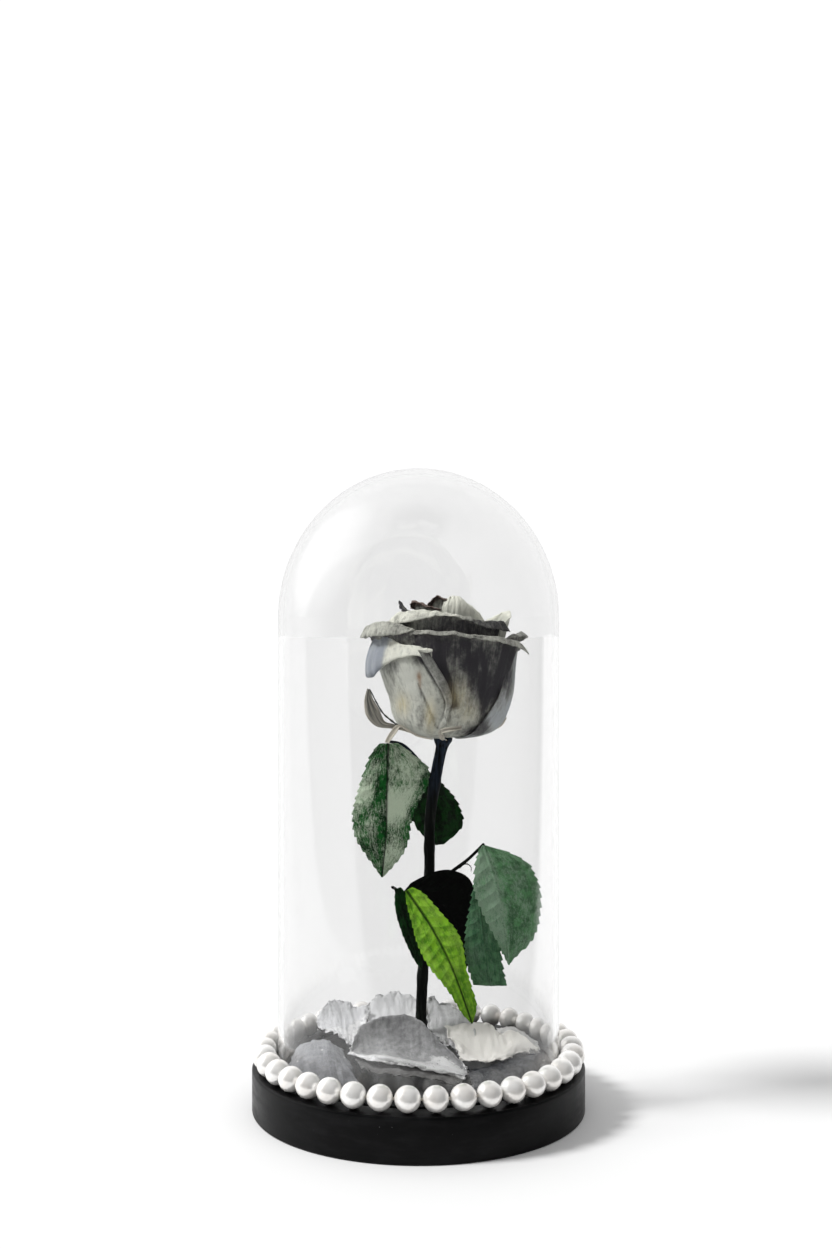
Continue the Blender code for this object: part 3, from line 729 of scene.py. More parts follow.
# The petals that show from the front: the azimuths of their sides at the foot, a quarter up and half way up,
# and two lines as azimuth, radius and height: the crest, where the petal turns over, and its rim
SHAPED_PETALS = {
    22: (
        (-100, -2), (-106, 10), (-106, 22),
        [(-113, 28.4, 30), (-94, 28.8, 35.8), (-78, 29.0, 38.0), (-61, 28.4, 38.4), (-42, 28.0, 37.2),
         (-21, 28.3, 36.0), (-5, 28.4, 33.6)],
        [(-110, 29.4, 30), (-93, 32.8, 30.4), (-82, 35.0, 24.0), (-68, 33.2, 24.6), (-46, 29.8, 31.6),
         (-20, 31.0, 33.4), (-3, 29.2, 33.2)],
    ),
    21: (
        (40, 128), (34, 132), (50, 130),
        [(60, 27.4, 32.6), (70, 27.4, 35.4), (80, 27.3, 36.4), (90, 27.4, 37), (102, 27.8, 36.8),
         (114, 28.2, 36), (126, 28.4, 33)],
        [(61, 27.9, 33.6), (70, 28.3, 36.6), (80, 28.8, 37.4), (90, 29.4, 38), (102, 30.0, 37.6),
         (114, 30.6, 36.6), (125, 30, 34)],
    ),
    19: (
        (-40, 64), (-44, 62), (-44, 62),
        [(-50, 24.8, 39.6), (-33, 25.3, 43.0), (-12, 25.8, 43.1), (8, 26.2, 42.8), (28, 26.8, 42.2),
         (49, 28.4, 41), (66, 29.8, 39.2)],
        [(-49, 25.6, 39), (-32, 26.6, 41.8), (-12, 27.0, 42.0), (8, 27.4, 41.8), (28, 28.2, 41.0),
         (51, 31.2, 39.2), (70, 34.2, 36.4)],
    ),
    17: (
        (-128, -30), (-132, -28), (-132, -28),
        [(-132, 30.4, 42), (-112, 31.6, 43), (-93, 32.6, 43), (-77, 32.4, 43.6), (-62, 31.0, 45.2),
         (-47, 28.2, 45.2), (-34, 25.4, 43.4)],
        [(-130, 33.4, 40), (-111, 35.4, 39.6), (-93, 35.8, 39.4), (-79, 35.6, 39.4), (-63, 34.2, 40.4),
         (-48, 31.0, 41.2), (-35, 26.6, 42.8)],
    ),
    16: (
        (18, 92), (20, 96), (20, 96),
        [(34, 25.2, 38), (48, 26.2, 40), (60, 27.2, 42), (74, 27.8, 43.2), (88, 28.4, 43.4),
         (100, 28.6, 42.6), (112, 28.4, 41)],
        [(35, 26.0, 39), (48, 27.6, 41), (60, 29.4, 42.8), (74, 31.4, 43.2), (88, 32.4, 42.8),
         (100, 32.0, 41.6), (111, 31.0, 40)],
    ),
    14: (
        (-66, 46), (-70, 50), (-70, 50),
        [(-72, 24.6, 46.2), (-53, 24.2, 49.2), (-31, 22.6, 50.6), (-9, 21.6, 50.8), (13, 21.8, 49.4),
         (33, 23.0, 48.0), (53, 25.0, 47.6)],
        [(-74, 27.2, 44.2), (-56, 27.4, 45.2), (-32, 25.6, 47.4), (-9, 23.0, 49.6), (13, 23.2, 48.6),
         (35, 26.0, 45.6), (57, 28.2, 44.6)],
    ),
    13: (
        (62, 150), (58, 156), (58, 156),
        [(50, 21.0, 45.0), (64, 22.4, 46.6), (80, 23.4, 48.4), (97, 24.0, 50.6), (112, 24.4, 51.2),
         (130, 23.8, 49.0), (148, 23, 46)],
        [(51, 22.0, 46.0), (64, 23.4, 47.8), (80, 24.4, 50.0), (97, 25.2, 52.0), (112, 25.8, 53.0),
         (130, 25.0, 50.2), (147, 24, 46.6)],
    ),
    12: (
        (-160, -70), (-164, -66), (-164, -66),
        [(-160, 18.6, 48), (-142, 19.4, 49.2), (-124, 19.8, 50.2), (-108, 19.8, 51.6), (-95, 19.4, 52.2),
         (-82, 18.6, 51.0), (-66, 17.6, 49.4)],
        [(-158, 20.4, 49.4), (-142, 21.6, 51.2), (-124, 21.8, 50.8), (-108, 22.0, 53.8), (-96, 21.2, 54.6),
         (-82, 20.6, 52.2), (-66, 19.4, 50.8)],
    ),
    11: (
        (-20, 74), (-22, 80), (-22, 80),
        [(-17, 12.6, 51.4), (-6, 13.0, 52.4), (9, 13.4, 52.4), (27, 13.6, 51.4), (45, 13.8, 50.2),
         (62, 14.0, 49.0), (80, 14.2, 47.6)],
        [(-15, 9.0, 56.0), (-3, 6.6, 57.6), (11, 5.4, 57.6), (28, 5.8, 56.2), (46, 7.4, 53.8),
         (63, 9.2, 51.6), (80, 11.2, 49.2)],
    ),
    9: (
        (-118, -22), (-122, -18), (-122, -18),
        [(-116, 13.6, 50.4), (-100, 14.0, 51.8), (-85, 14.2, 52.8), (-68, 14.0, 53.6), (-52, 13.6, 53.4),
         (-36, 13.0, 52.4), (-20, 12.4, 51.6)],
        [(-114, 15.4, 51.6), (-100, 16.2, 52.4), (-86, 16.0, 53.4), (-69, 16.8, 54.8), (-53, 16.2, 54.4),
         (-37, 15.2, 52.8), (-21, 14.0, 52.4)],
    ),
    6: (
        (-80, 60), (-84, 64), (-84, 64),
        [(-78, 8.2, 51.0), (-58, 8.8, 53.0), (-40, 9.4, 55.2), (-24, 9.8, 56.4), (-6, 9.6, 55.4),
         (16, 9.0, 53.6), (40, 8.4, 52.0)],
        [(-76, 9.6, 52.0), (-57, 11.2, 53.4), (-41, 11.8, 56.6), (-25, 11.6, 57.4), (-7, 11.0, 55.6),
         (16, 10.4, 54.0), (40, 9.6, 52.6)],
    ),
}
# How light the paint is low on each petal, high on it and where it has turned over, how blue it is, and how
# cream its turned edge
PETAL_PAINT = {
    22: (0.95, 1.0, 0.96, 0.12, 0.8), 21: (0.98, 0.8, 0.9, 0.8, 0.3), 20: (0.85, 0.65, 0.8, 0.3, 0.4),
    19: (0.96, 0.25, 0.62, 0.0, 0.3), 18: (0.7, 0.4, 0.6, 0.1, 0.3), 17: (0.6, 0.45, 0.73, 0.0, 0.3),
    16: (0.6, 0.4, 0.6, 0.25, 0.15), 15: (0.6, 0.4, 0.7, 0.1, 0.4), 14: (0.45, 0.3, 0.85, 0.0, 0.95),
    13: (0.9, 1.1, 1.3, 0.0, 1.0), 12: (0.4, 0.3, 0.15, 0.1, 0.0), 11: (1.0, 1.3, 1.3, 0.0, 0.9),
    10: (0.6, 0.6, 0.8, 0.0, 0.6), 9: (0.5, 0.6, 0.4, 0.0, 0.1), 6: (0.5, 0.7, 0.5, 0.0, 0.2),
}
PLAIN_PAINT = (0.6, 0.5, 0.7, 0.0, 0.4)
PETAL_DARK = (0.045, 0.042, 0.048, 1.0)
PETAL_LIGHT = (0.64, 0.65, 0.57, 1.0)
PETAL_BLUE = (0.36, 0.395, 0.46, 1.0)
PETAL_CREAM = (0.84, 0.84, 0.74, 1.0)
PETAL_YELLOW = (0.56, 0.48, 0.27, 1.0)
PETAL_BROWN = (0.2, 0.15, 0.13, 1.0)
PETAL_SPOT = (0.3, 0.17, 0.09, 1.0)
DARK_RIM_PAINTED_LIGHT_PETAL = 14
PATCHY_PETAL = 19
BROWN_PETALS = 9
HIP_SHADE = (149, 153)
# Stains and painted shade, as the place (X, Z), the size across and along, and the strength of each
YELLOW_PATCHES = [
    ((-6.4, 164.0), (2.8, 4.4), 0.9), ((4.6, 160.0), (2.0, 6.4), 1.0), ((14.8, 168.4), (3.6, 5.0), 0.75),
    ((19.4, 161.4), (3.4, 4.0), 0.45),
]
BROWN_SPOTS = [((0.2, 175.6), (0.9, 1.6), 1.0), ((0.6, 172.6), (0.6, 1.8), 0.6)]
# The first three are smoky paint on the front petal. The rest are painted shade: in the gap along the right
# petal's left edge and at its foot, in a fold by its right edge, and under the left petal's tongue and
# corner.
SMOKE_AND_SHADE = [
    ((24.0, 183.0), (10.0, 8.0), 0.5), ((27.0, 172.0), (6.0, 8.0), 0.7), ((12.0, 187.0), (9.0, 5.0), 0.4),
    ((21.6, 153.6), (5.8, 2.8), 1.5), ((25.4, 158.6), (2.2, 5.4), 1.4), ((25.4, 167.4), (1.5, 5.0), 0.9),
    ((35.2, 179.0), (2.6, 10.0), 1.2), ((-10.0, 179.4), (2.6, 2.4), 0.9), ((-0.6, 182.0), (2.2, 1.6), 0.9),
]
# A second edge shows through the front of the left petal as a step between these two places (X, Z)
CREASE = ((-0.4, 173.2), (8.0, 153.6))
CREASE_STEP = 0.45
# The rolled edge of the left petal leaves a dark line on the petal behind it, between these two places
TUBE_SHADOW = ((7.4, 185.0), (14.4, 162.0))


def shell_points(layer, t):
    """Radius and height in mm at t from the hip (0) to the rim (1) of the shell at this layer."""
    low = max(i for i in range(len(SHELLS) - 1) if SHELLS[i][0] <= layer)
    share = (layer - SHELLS[low][0]) / (SHELLS[low + 1][0] - SHELLS[low][0])
    return along_curve(SHELLS[low][1], t) * (1 - share) + along_curve(SHELLS[low + 1][1], t) * share


def plain_petal(layer, azimuth, half_width, reach):
    """The rows of a petal that stays on its shell: a narrow foot, a broad middle and rounded corners."""
    crest, rim = [], []
    for u in np.linspace(-1, 1, 7):
        turn = azimuth + half_width * 0.85 * u
        sink = 0.12 * abs(u) ** 3
        crest.append((turn, *shell_points(layer, (0.88 - sink) * reach)))
        rim.append((turn, *shell_points(layer, (1.0 - sink) * reach)))
    sides = [(azimuth - half, azimuth + half) for half in (half_width * 0.8, half_width, half_width)]
    return *sides, crest, rim


def petal_places(layer, foot, middle, upper, crest, rim, u, v):
    """A petal as azimuths, radii and heights. It follows its shell up to the crest and turns over there."""
    rows = []
    for t, sides in zip((0.0, 0.27, 0.54), (foot, middle, upper)):
        radius, height = shell_points(layer, t)
        rows.append([(azimuth, radius, height) for azimuth in np.linspace(*sides, 7)])
    across = (u + 1) / 2
    lines = [along_curve(row, across) for row in (*rows, crest)]
    body = along_curve(lines, np.minimum(v / PETAL_FOLD, 1.0))
    top = lines[-1]
    ahead = top - along_curve(lines, np.array([0.97]))[0]
    ahead[:, 0] = 0.0
    ahead /= np.linalg.norm(ahead, axis=1, keepdims=True)
    edge = along_curve(rim, across)
    reach = np.linalg.norm((edge - top)[:, 1:], axis=1, keepdims=True)
    turning = top + ahead * reach * 0.6
    turning[:, 0] = (top[:, 0] + edge[:, 0]) / 2
    s = np.clip((v - PETAL_FOLD) / (1 - PETAL_FOLD), 0, 1)[:, None, None]
    fold = (1 - s) ** 2 * top + 2 * s * (1 - s) * turning + s**2 * edge
    return np.where(s > 0, fold, body)


def in_flower(places):
    """Azimuths, radii and heights round the flower's own axis as points in mm. Azimuth 0 is the front."""
    azimuth, radius, z = np.radians(places[..., 0]), places[..., 1], places[..., 2]
    taper = LEFT_TAPER * smooth((TAPER_TOP - z) / TAPER_LENGTH)
    radius = radius * (1 - taper * smooth(0.2 - np.sin(azimuth)))
    x, y = radius * np.sin(azimuth), -radius * np.cos(azimuth)
    lean, rise = math.sin(HEAD_TILT), math.cos(HEAD_TILT)
    return np.stack((x * rise + z * lean, y, z * rise - x * lean), axis=-1) + np.array(HEAD_FOOT)


def rolled(points, start, turns, slimness):
    """Rolls the last rows of a sheet outwards from row start on. turns is the angle at the edge."""
    foot = points[start]
    ahead = foot - points[start - 1]
    ahead /= np.linalg.norm(ahead, axis=-1, keepdims=True)
    outward = np.cross(np.gradient(foot, axis=0), ahead)
    outward /= np.linalg.norm(outward, axis=-1, keepdims=True)
    away = foot - np.array(HEAD_FOOT)
    away[:, 2] = 0.0
    outward *= np.sign((outward * away).sum(axis=-1, keepdims=True))
    travelled = np.linalg.norm(np.diff(points[start:], axis=0), axis=-1)
    arc = np.vstack([np.zeros(len(foot)), np.cumsum(travelled, axis=0)])
    bend = np.maximum(turns, 1e-3) / arc[-1]
    angle = arc * bend
    lift = (np.sin(angle) / bend)[..., None] * ahead + ((1 - np.cos(angle)) / bend)[..., None] * outward
    points = points.copy()
    points[start:] = foot + lift * slimness[:, None]
    return points


def towards_front(points):
    return smooth((-points[..., 1] - 2) / 6)


def beside_line(points, upper, lower):
    """The signed distance in mm of each point from a line between two places (X, Z), and where it shows."""
    along = np.array(upper, float) - np.array(lower, float)
    length = np.linalg.norm(along)
    along /= length
    x, z = points[..., 0] - lower[0], points[..., 2] - lower[1]
    share = (x * along[0] + z * along[1]) / length
    inside = smooth(share / 0.12) * smooth((1.05 - share) / 0.12)
    return x * along[1] - z * along[0], inside * towards_front(points)


def stains(points, table):
    """How strongly the stains of a table show at each point of the flower's front."""
    stain = np.zeros(points.shape[:2])
    for (x, z), (across, along), strength in table:
        aside, up = (points[..., 0] - x) / across, (points[..., 2] - z) / along
        stain += strength * np.exp(-(aside**2) - up**2)
    return np.clip(stain, 0, 1.2) * towards_front(points)


def petal_material():
    """Silver paint on a dry petal: streaked, mottled and veined, with blue, yellow, cream and brown on it."""
    material, tree, shader = start_material("silver_petal", Metallic=0.06, Specular_IOR_Level=0.14)
    bands = cloud(tree, "UV", (9, 1.2, 1), detail=3.0)
    striae = cloud(tree, "UV", (52, 4, 1), detail=6.0, roughness=0.7)
    mottle = cloud(tree, "Object", (520, 520, 380), detail=8.0, roughness=0.8)
    patch = cloud(tree, "Object", (110, 110, 85), detail=4.0)
    veins = cloud(tree, "UV", (13, 2.6, 1), detail=3.0, roughness=0.6)
    off_vein = calculate("ABSOLUTE", calculate("SUBTRACT", veins, 0.5))
    tone = total(
        attribute(tree, "tone"),
        remap(bands, 0.32, 0.68, -0.06, 0.06),
        remap(striae, 0.3, 0.7, -0.1, 0.1),
        remap(mottle, 0.34, 0.66, -0.18, 0.18),
        remap(patch, 0.34, 0.66, -0.09, 0.08),
        remap(off_vein, 0.0, 0.012, -0.14, 0.0),
    )
    tone = calculate("MULTIPLY", calculate("MAXIMUM", tone, 0.0), tone, clamp=True)
    colour = paint(tone, PETAL_DARK, PETAL_LIGHT)
    blue = product(product(attribute(tree, "blue"), remap(patch, 0.35, 0.6, 0.4, 0.9)), tone)
    colour = paint(blue, colour, PETAL_BLUE)
    for name, shown, over in (
        ("warm", remap(striae, 0.35, 0.6, 0.3, 0.8), PETAL_YELLOW),
        ("rim", remap(mottle, 0.36, 0.56, 0.3, 1.0), PETAL_CREAM),
        ("slate", remap(mottle, 0.3, 0.6, 1.0, 0.75), PETAL_BLUE),
        ("brown", remap(mottle, 0.36, 0.5, 0.35, 1.0), PETAL_BROWN),
    ):
        colour = paint(product(attribute(tree, name), shown), colour, over)
    colour = paint(attribute(tree, "spot"), colour, PETAL_SPOT)
    feed(shader, Base_Color=colour, Roughness=remap(mottle, 0.3, 0.7, 0.5, 0.7))
    add_bump(shader, total(product(striae, 0.6), mottle), 0.0005)
    return material


def petal_shape(number, share, u, v):
    """A petal's points: its place in the flower, its crumpled and ragged rim, and the relief of its skin."""
    layer = INNER_LAYER + (1 - INNER_LAYER) * share
    azimuth = OUTER_AZIMUTH + (PETAL_COUNT - number) * GOLDEN_ANGLE
    half_width = INNER_HALF_WIDTH + (OUTER_HALF_WIDTH - INNER_HALF_WIDTH) * float(smooth(share / 0.6))
    reach = 0.97 + 0.03 * math.sin(2.4 * (number - 1))
    shape = SHAPED_PETALS.get(number) or plain_petal(layer, azimuth, half_width, reach)
    places = petal_places(layer, *shape, u[0], v[:, 0])
    outer = smooth((v - 0.62) / 0.38)
    crumple = grain(u, v, number, (0.9, 5.0, 3.0, 0), (0.8, 15.0, 9.0, 5))
    places[..., 1] += crumple * outer * (0.5 if share > 0.4 else 0.9)
    places[..., 2] += grain(u, v, number, (0.7, 4.6, 2.0, 2), (0.35, 17.0, 4.0, 8)) * outer
    ragged = smooth((v - 0.95) / 0.05) * (0.5 + grain(u, v, number, (0.9, 2.6, 0.5, 13)))
    places[..., 1] += grain(u, v, number, (0.45, 17.0, 1.0, 11)) * ragged
    places[..., 2] += grain(u, v, number, (0.5, 6.0, 1.0, 12), (0.3, 21.0, 1.0, 14)) * ragged
    points = in_flower(places)
    if number == PETAL_COUNT:
        up = v[:, 0]
        flat_again = smooth((up - 0.77) / 0.08)
        turns = np.radians(TUBE_TURN) * smooth((up - 0.34) / 0.14) * (1 - flat_again)
        slimness = 0.25 + 1.15 * smooth((up - 0.34) / 0.4)
        slimness = slimness + (0.4 - slimness) * flat_again
        points = rolled(points.transpose(1, 0, 2), TUBE_START, turns, slimness).transpose(1, 0, 2)
    ridges = 1 - 2 * np.abs(grain(u, v, number, (1, 6.0, 1.3, 7.3)))
    relief = grain(u, v, number, (0.7, 3.0, 2.4, 0.3)) * smooth(v / 0.4)
    relief += (0.35 if share > 0.55 else 0.12) * ridges * smooth(v / 0.15)
    relief += grain(u, v, number, (0.3, 9.0, 7.0, 1.7), (0.07, 40.0, 5.0, 3.1))
    relief += grain(u, v, number, (0.12, 26.0, 26.0, 4.1))
    if number == PETAL_COUNT:
        aside, inside = beside_line(points, *CREASE)
        relief += CREASE_STEP * inside * smooth(0.5 - aside / 0.5) * smooth((aside + 9) / 6)
    return raised(points, relief)


def petal_looks(number, share, points, u, v):
    """How strongly each paint, stain, painted shade and painted highlight shows at each point of a petal."""
    turned = smooth((v - PETAL_FOLD + 0.02) / 0.04)
    crest = bell((v - PETAL_FOLD - 0.02) / 0.03)
    low, high, over, blue, cream = PETAL_PAINT.get(number, PLAIN_PAINT)
    tongue = turned * smooth((0.2 - u) / 0.1) if number == PETAL_COUNT else 0 * u
    cloudy = grain(u, v, number, (0.16, 2.6, 3.0, 15), (0.1, 8.0, 8.0, 16))
    smoke_and_shade = stains(points, SMOKE_AND_SHADE)
    tone = low + (high - low) * smooth((v - 0.36 + cloudy) / 0.3) - 0.5 * smoke_and_shade * (1 - turned)
    tone = tone * (1 - turned) + over * turned - 0.24 * tongue
    tone = tone - 0.2 * (1 - smooth((points[..., 2] - HIP_SHADE[0]) / (HIP_SHADE[1] - HIP_SHADE[0])))
    # Petal 14's turned rim is darker towards the right; below the rim, left of the middle, its body is
    # lightened as painted light where the rim shades it
    if number == DARK_RIM_PAINTED_LIGHT_PETAL:
        to_right = smooth((u - 0.15) / 0.4)
        tone = tone - 0.55 * turned * to_right + 0.4 * smooth((0.1 - u) / 0.5) * (1 - turned)
        cream = cream * (1 - to_right)
    if number == PETAL_COUNT:
        aside, inside = beside_line(points, *CREASE)
        # Painted shade along the crease's step
        tone = tone - 0.5 * inside * bell(aside / 0.35)
        # The rolled tube is darker, partly its own grey and partly painted shade, with a painted shadow line
        # along its foot
        up_tube = smooth((v - 0.38) / 0.2) * (1 - turned)
        tube_foot_shadow = 0.63 - 0.43 * np.clip(v - 0.5, 0, 0.3)
        tone = tone - 0.38 * smooth((u - 0.68) / 0.03) * up_tube
        tone = tone - 0.75 * bell((u - tube_foot_shadow) / 0.035) * up_tube
    if number == PATCHY_PETAL:
        aside, inside = beside_line(points, *TUBE_SHADOW)
        tone = tone - 1.0 * inside * bell(aside / 1.8)
        patchy = smooth(grain(u, v, 23.5, (1, 5.0, 5.0, 0), (0.5, 16.0, 14.0, 4)) / 0.5)
        tone = tone + 0.26 * patchy * smooth((v - 0.4) / 0.2) * (1 - turned)
    return {
        "tone": tone,
        "blue": np.clip(blue, 0, 1),
        "slate": 0.85 * tongue,
        "warm": stains(points, YELLOW_PATCHES) * (1 - turned),
        # rim is the cream of the turned edge, plus a painted highlight along the crest of the outer petals
        "rim": np.clip(turned * cream * (1 - tongue) + 0.5 * crest * (share > 0.4), 0, 1),
        "brown": np.clip(turned * (number <= BROWN_PETALS), 0, 1),
        "spot": np.clip(stains(points, BROWN_SPOTS), 0, 0.85),
    }


silver_petal = petal_material()
u, v = grid(PETAL_COLUMNS, PETAL_ROWS)
for number in range(1, PETAL_COUNT + 1):
    share = (number - 1) / (PETAL_COUNT - 1)
    points = petal_shape(number, share, u, v)
    values = petal_looks(number, share, points, u, v)
    name, node = f"petal_{number:02d}", f"rose_petal_{number:02d}"
    add_sheet(name, points, values, PETAL_THICKNESS, silver_petal, node)


# The fallen petals
# Nine loose petals that were laid on the base round the stem. Their silver paint is thicker than the
# flower's, and has dried rough and glittering along their edges.
FALLEN_COLUMNS = 84
FALLEN_ROWS = 72
# Each petal by rows of points from its back edge to its front edge, in mm over the base's top
FALLEN_PETALS = [
    [
        [(-26.5, -18, 11), (-23.5, -8, 16.5), (-14, -3, 19.5), (-2.5, -4, 19.5), (7, -12, 14),
         (19, -26, 6)],
        [(-26.5, -20, 10), (-22, -13, 11), (-13.5, -9, 12), (-2.5, -11, 12), (8.5, -19, 8.5),
         (19, -27, 4.5)],
        [(-26.5, -22, 10.5), (-20, -21, 9.5), (-12, -20, 9), (-2.5, -21, 8.5), (8.5, -25, 6.5),
         (18.5, -28, 3.8)],
        [(-26.8, -24, 11), (-19, -29, 11.5), (-10.5, -31, 11), (-0.5, -32, 9.5), (9, -32, 7),
         (18, -30, 3.5)],
        [(-27, -25, 11), (-18, -32, 10.5), (-8.5, -34, 9.5), (0.5, -35, 8.5), (9.5, -34, 6),
         (17.5, -31, 2.5)],
    ],
    [
        [(-50.5, -6, 4), (-45.5, -5, 9), (-40, -5, 10.5), (-34, -8, 9.5), (-28.5, -12, 5.5)],
        [(-51, -14, 3.5), (-45.5, -14, 9.5), (-39, -15, 11.5), (-32.5, -18, 10), (-26, -22, 5)],
        [(-49, -22, 1.5), (-45, -25, 6), (-37.5, -27, 8), (-30, -29, 6.5), (-23, -32, 3)],
        [(-45, -29, 0.5), (-41, -33, 0.8), (-34, -37, 1), (-27.5, -39, 1), (-21, -41, 0.6)],
    ],
    [
        [(-41.5, 10, 17), (-38, 13, 21.5), (-33, 14, 22), (-27.5, 13, 19.5), (-21, 11, 20)],
        [(-42, 6, 14), (-36.5, 8, 16.5), (-31.5, 9, 16.5), (-26.5, 8, 15.5), (-21, 7, 16)],
        [(-39.5, 1, 13.5), (-34.5, 1, 13.5), (-30.5, 1, 13), (-26, 0, 12.5), (-21.5, 1, 12.5)],
        [(-36, -3, 14), (-32.5, -6, 13), (-29, -9, 11), (-26.5, -10, 9.5), (-24, -7, 11)],
    ],
    [
        [(-21.5, 16, 18.5), (-18, 20, 21), (-12.5, 22, 22.5), (-7.5, 22, 22.5), (-2.5, 21, 21),
         (1, 18, 18.5)],
        [(-21.5, 12, 16), (-17, 14, 17.5), (-12, 15, 18.5), (-7, 15, 18.5), (-2.5, 14, 17.5), (1, 13, 16)],
        [(-20.5, 5, 15), (-16, 6, 15), (-11.5, 7, 15.5), (-7, 7, 15.5), (-2.5, 7, 15), (0.5, 7, 14)],
        [(-19, -1, 14.5), (-15, -1, 14.5), (-11, -1, 14.5), (-8, -0.5, 14), (-5.5, 1, 13.5), (-4, 3, 13)],
    ],
    [
        [(3, 17, 19), (6.5, 17, 22), (9, 15, 20.5), (13.5, 13, 20.5), (17, 11, 18), (20, 8, 15),
         (23, 5, 12)],
        [(3.5, 11, 15.5), (7, 11, 16.5), (10, 9, 16.5), (14, 7, 16), (17, 5, 14), (20.5, 3, 12),
         (23, 0, 10.5)],
        [(4.5, 3, 12.5), (7, 3, 12), (10.5, 2, 11.6), (13.5, 1, 10.6), (16.5, -1, 9), (19, -3, 7.8),
         (21.5, -4, 6.8)],
        [(5, -4, 11), (8, -5, 10.4), (11, -6, 9.4), (13.5, -7, 7.6), (16, -8, 6.2), (18, -9, 5.4),
         (20.5, -9, 4.2)],
    ],
    [
        [(11, 0, 14.2), (18, 3, 14.6), (24.5, 6, 14.4), (29.5, 7, 12.5), (33, 4, 10), (37.5, 6, 11),
         (42.5, 3, 10.5), (48, -5, 7)],
        [(12.5, -5, 11.5), (18.5, -3, 10.5), (24.5, -1, 10), (29.5, -1, 9), (33.5, -2, 8.5),
         (37.5, -1, 8.5), (42, -3, 9), (47.5, -7, 7)],
        [(14.5, -12, 9.5), (19, -12, 8), (24.5, -12, 7), (29, -12, 7), (33, -11, 7.5), (37, -9, 8),
         (40.5, -9, 8.5), (45.5, -9, 7.5)],
        [(16.5, -18, 8), (20, -20, 7.5), (24.5, -21, 7.5), (28.5, -20, 7.5), (32, -18, 8), (36, -15, 8.5),
         (39, -13, 8.5), (43.5, -11, 7.5)],
        [(16.5, -20, 7.5), (20, -22, 7), (24.5, -23, 7), (28.5, -22, 7), (32.5, -20, 7), (36, -17, 8),
         (39.5, -14, 8), (43.5, -12, 7.5)],
    ],
    [
        [(19.5, -23, 4), (25, -24, 5), (30.5, -22, 5.5), (37, -18, 6.5), (43, -13, 6.5), (48, -10, 6)],
        [(20, -28, 4.5), (25.5, -30, 6), (31.5, -28, 6), (38, -24, 6.5), (44, -19, 7), (48.5, -14, 6.5)],
        [(20.5, -34, 3), (26.5, -36, 4), (33, -34, 4.5), (39.5, -29, 5.5), (44.5, -24, 6),
         (48.5, -18, 5.5)],
        [(21, -40, 0.8), (27, -42, 0.8), (33, -39, 0.8), (39.5, -34, 1), (45, -28, 1.5), (48.5, -21, 2)],
    ],
    [
        [(30, 24, 4), (35, 24.5, 6.5), (40, 23, 7.5), (45, 19, 7), (49, 13, 4.5)],
        [(30, 17, 5), (35, 17, 7.5), (40, 15.5, 8.3), (45, 12, 7.8), (49.5, 6.5, 5)],
        [(31, 11, 4), (36, 10.5, 6), (41, 9, 6.6), (46, 5.5, 6.2), (50, 1.5, 4)],
        [(32, 6, 1), (37, 5, 2), (42, 4, 2.6), (47, 1, 2.4), (50.5, -3, 1.2)],
    ],
    [
        [(-24.5, -26, 9), (-15, -29, 8.5), (-5.5, -31, 8), (4.5, -32, 6.5), (16.5, -31, 2)],
        [(-22, -30, 7.8), (-14, -33, 7.4), (-5, -34.5, 7), (5, -35, 5.8), (16.5, -34, 1.6)],
        [(-19, -33, 6.6), (-12.5, -36, 6.3), (-4, -37.5, 6), (5.5, -38, 4.8), (16.5, -36, 1.2)],
    ],
]
# How light each is at the back and at the front, how blue, how cream, and how much it glitters. The
# lightness is partly the paint and partly painted light and shade: lighter where a petal faces up to the
# light, darker where it faces the front, and dark on the petal that lies in shadow under the first one's lip.
FALLEN_PAINT_LIGHT_AND_SHADE = [
    (0.28, 0.68, 0.0, 0.0, 1.0), (0.48, 0.22, 0.55, 0.0, 0.0), (0.9, 1.1, 0.2, 0.0, 0.6),
    (1.1, 1.3, 0.1, 0.0, 0.9), (0.55, 0.8, 0.25, 0.1, 0.2), (1.1, 1.1, 0.0, 0.6, 0.15),
    (0.01, 0.08, 0.6, 0.0, 0.0), (0.5, 0.5, 0.1, 0.2, 0.1), (0.2, 0.04, 0.0, 0.1, 0.0),
]
SLATE = (0.02, 0.021, 0.025, 1.0)
SILVER = (0.7, 0.7, 0.7, 1.0)
FALLEN_BLUE = (0.28, 0.3, 0.36, 1.0)
FALLEN_CREAM = (0.78, 0.75, 0.68, 1.0)
GLITTER = (0.95, 0.95, 0.95, 1.0)
DROPPED_ON = (2, 7)
EDGE_CRUMPLE = (1.6, 1.6, 0.5)
LYING_HEIGHT = 0.25


def fallen_points(net, seed, u, v, out_to_edge):
    """A loose petal through its net, with a crisp crumpled edge and fine ribs that run out to it."""
    lines = [along_curve(row, (u[0] + 1) / 2) for row in net]
    points = along_curve(lines, v[:, 0]) + np.array((0, 0, BASE_TOP))
    relief = grain(u, v, seed, (1, 2.2, 2.2, 0), (0.35, 7, 4, 2), (0.05, 30, 6, 3), (0.05, 34, 34, 4))
    relief += out_to_edge**6 * grain(u, v, seed, (1.3, 5, 5, 8), (0.6, 14, 14, 9))
    points = raised(points, relief)
    edge = (out_to_edge**6)[..., None]
    push = edge * np.stack([grain(u, v, seed, (1, 5, 5, step)) for step in (20, 30, 40)], axis=-1)
    push += 0.5 * edge * np.stack([grain(u, v, seed, (1, 16, 16, step)) for step in (50, 60, 70)], axis=-1)
    points = points + push * np.array(EDGE_CRUMPLE)
    points[..., 2] = np.maximum(points[..., 2], BASE_TOP + LYING_HEIGHT)
    return points


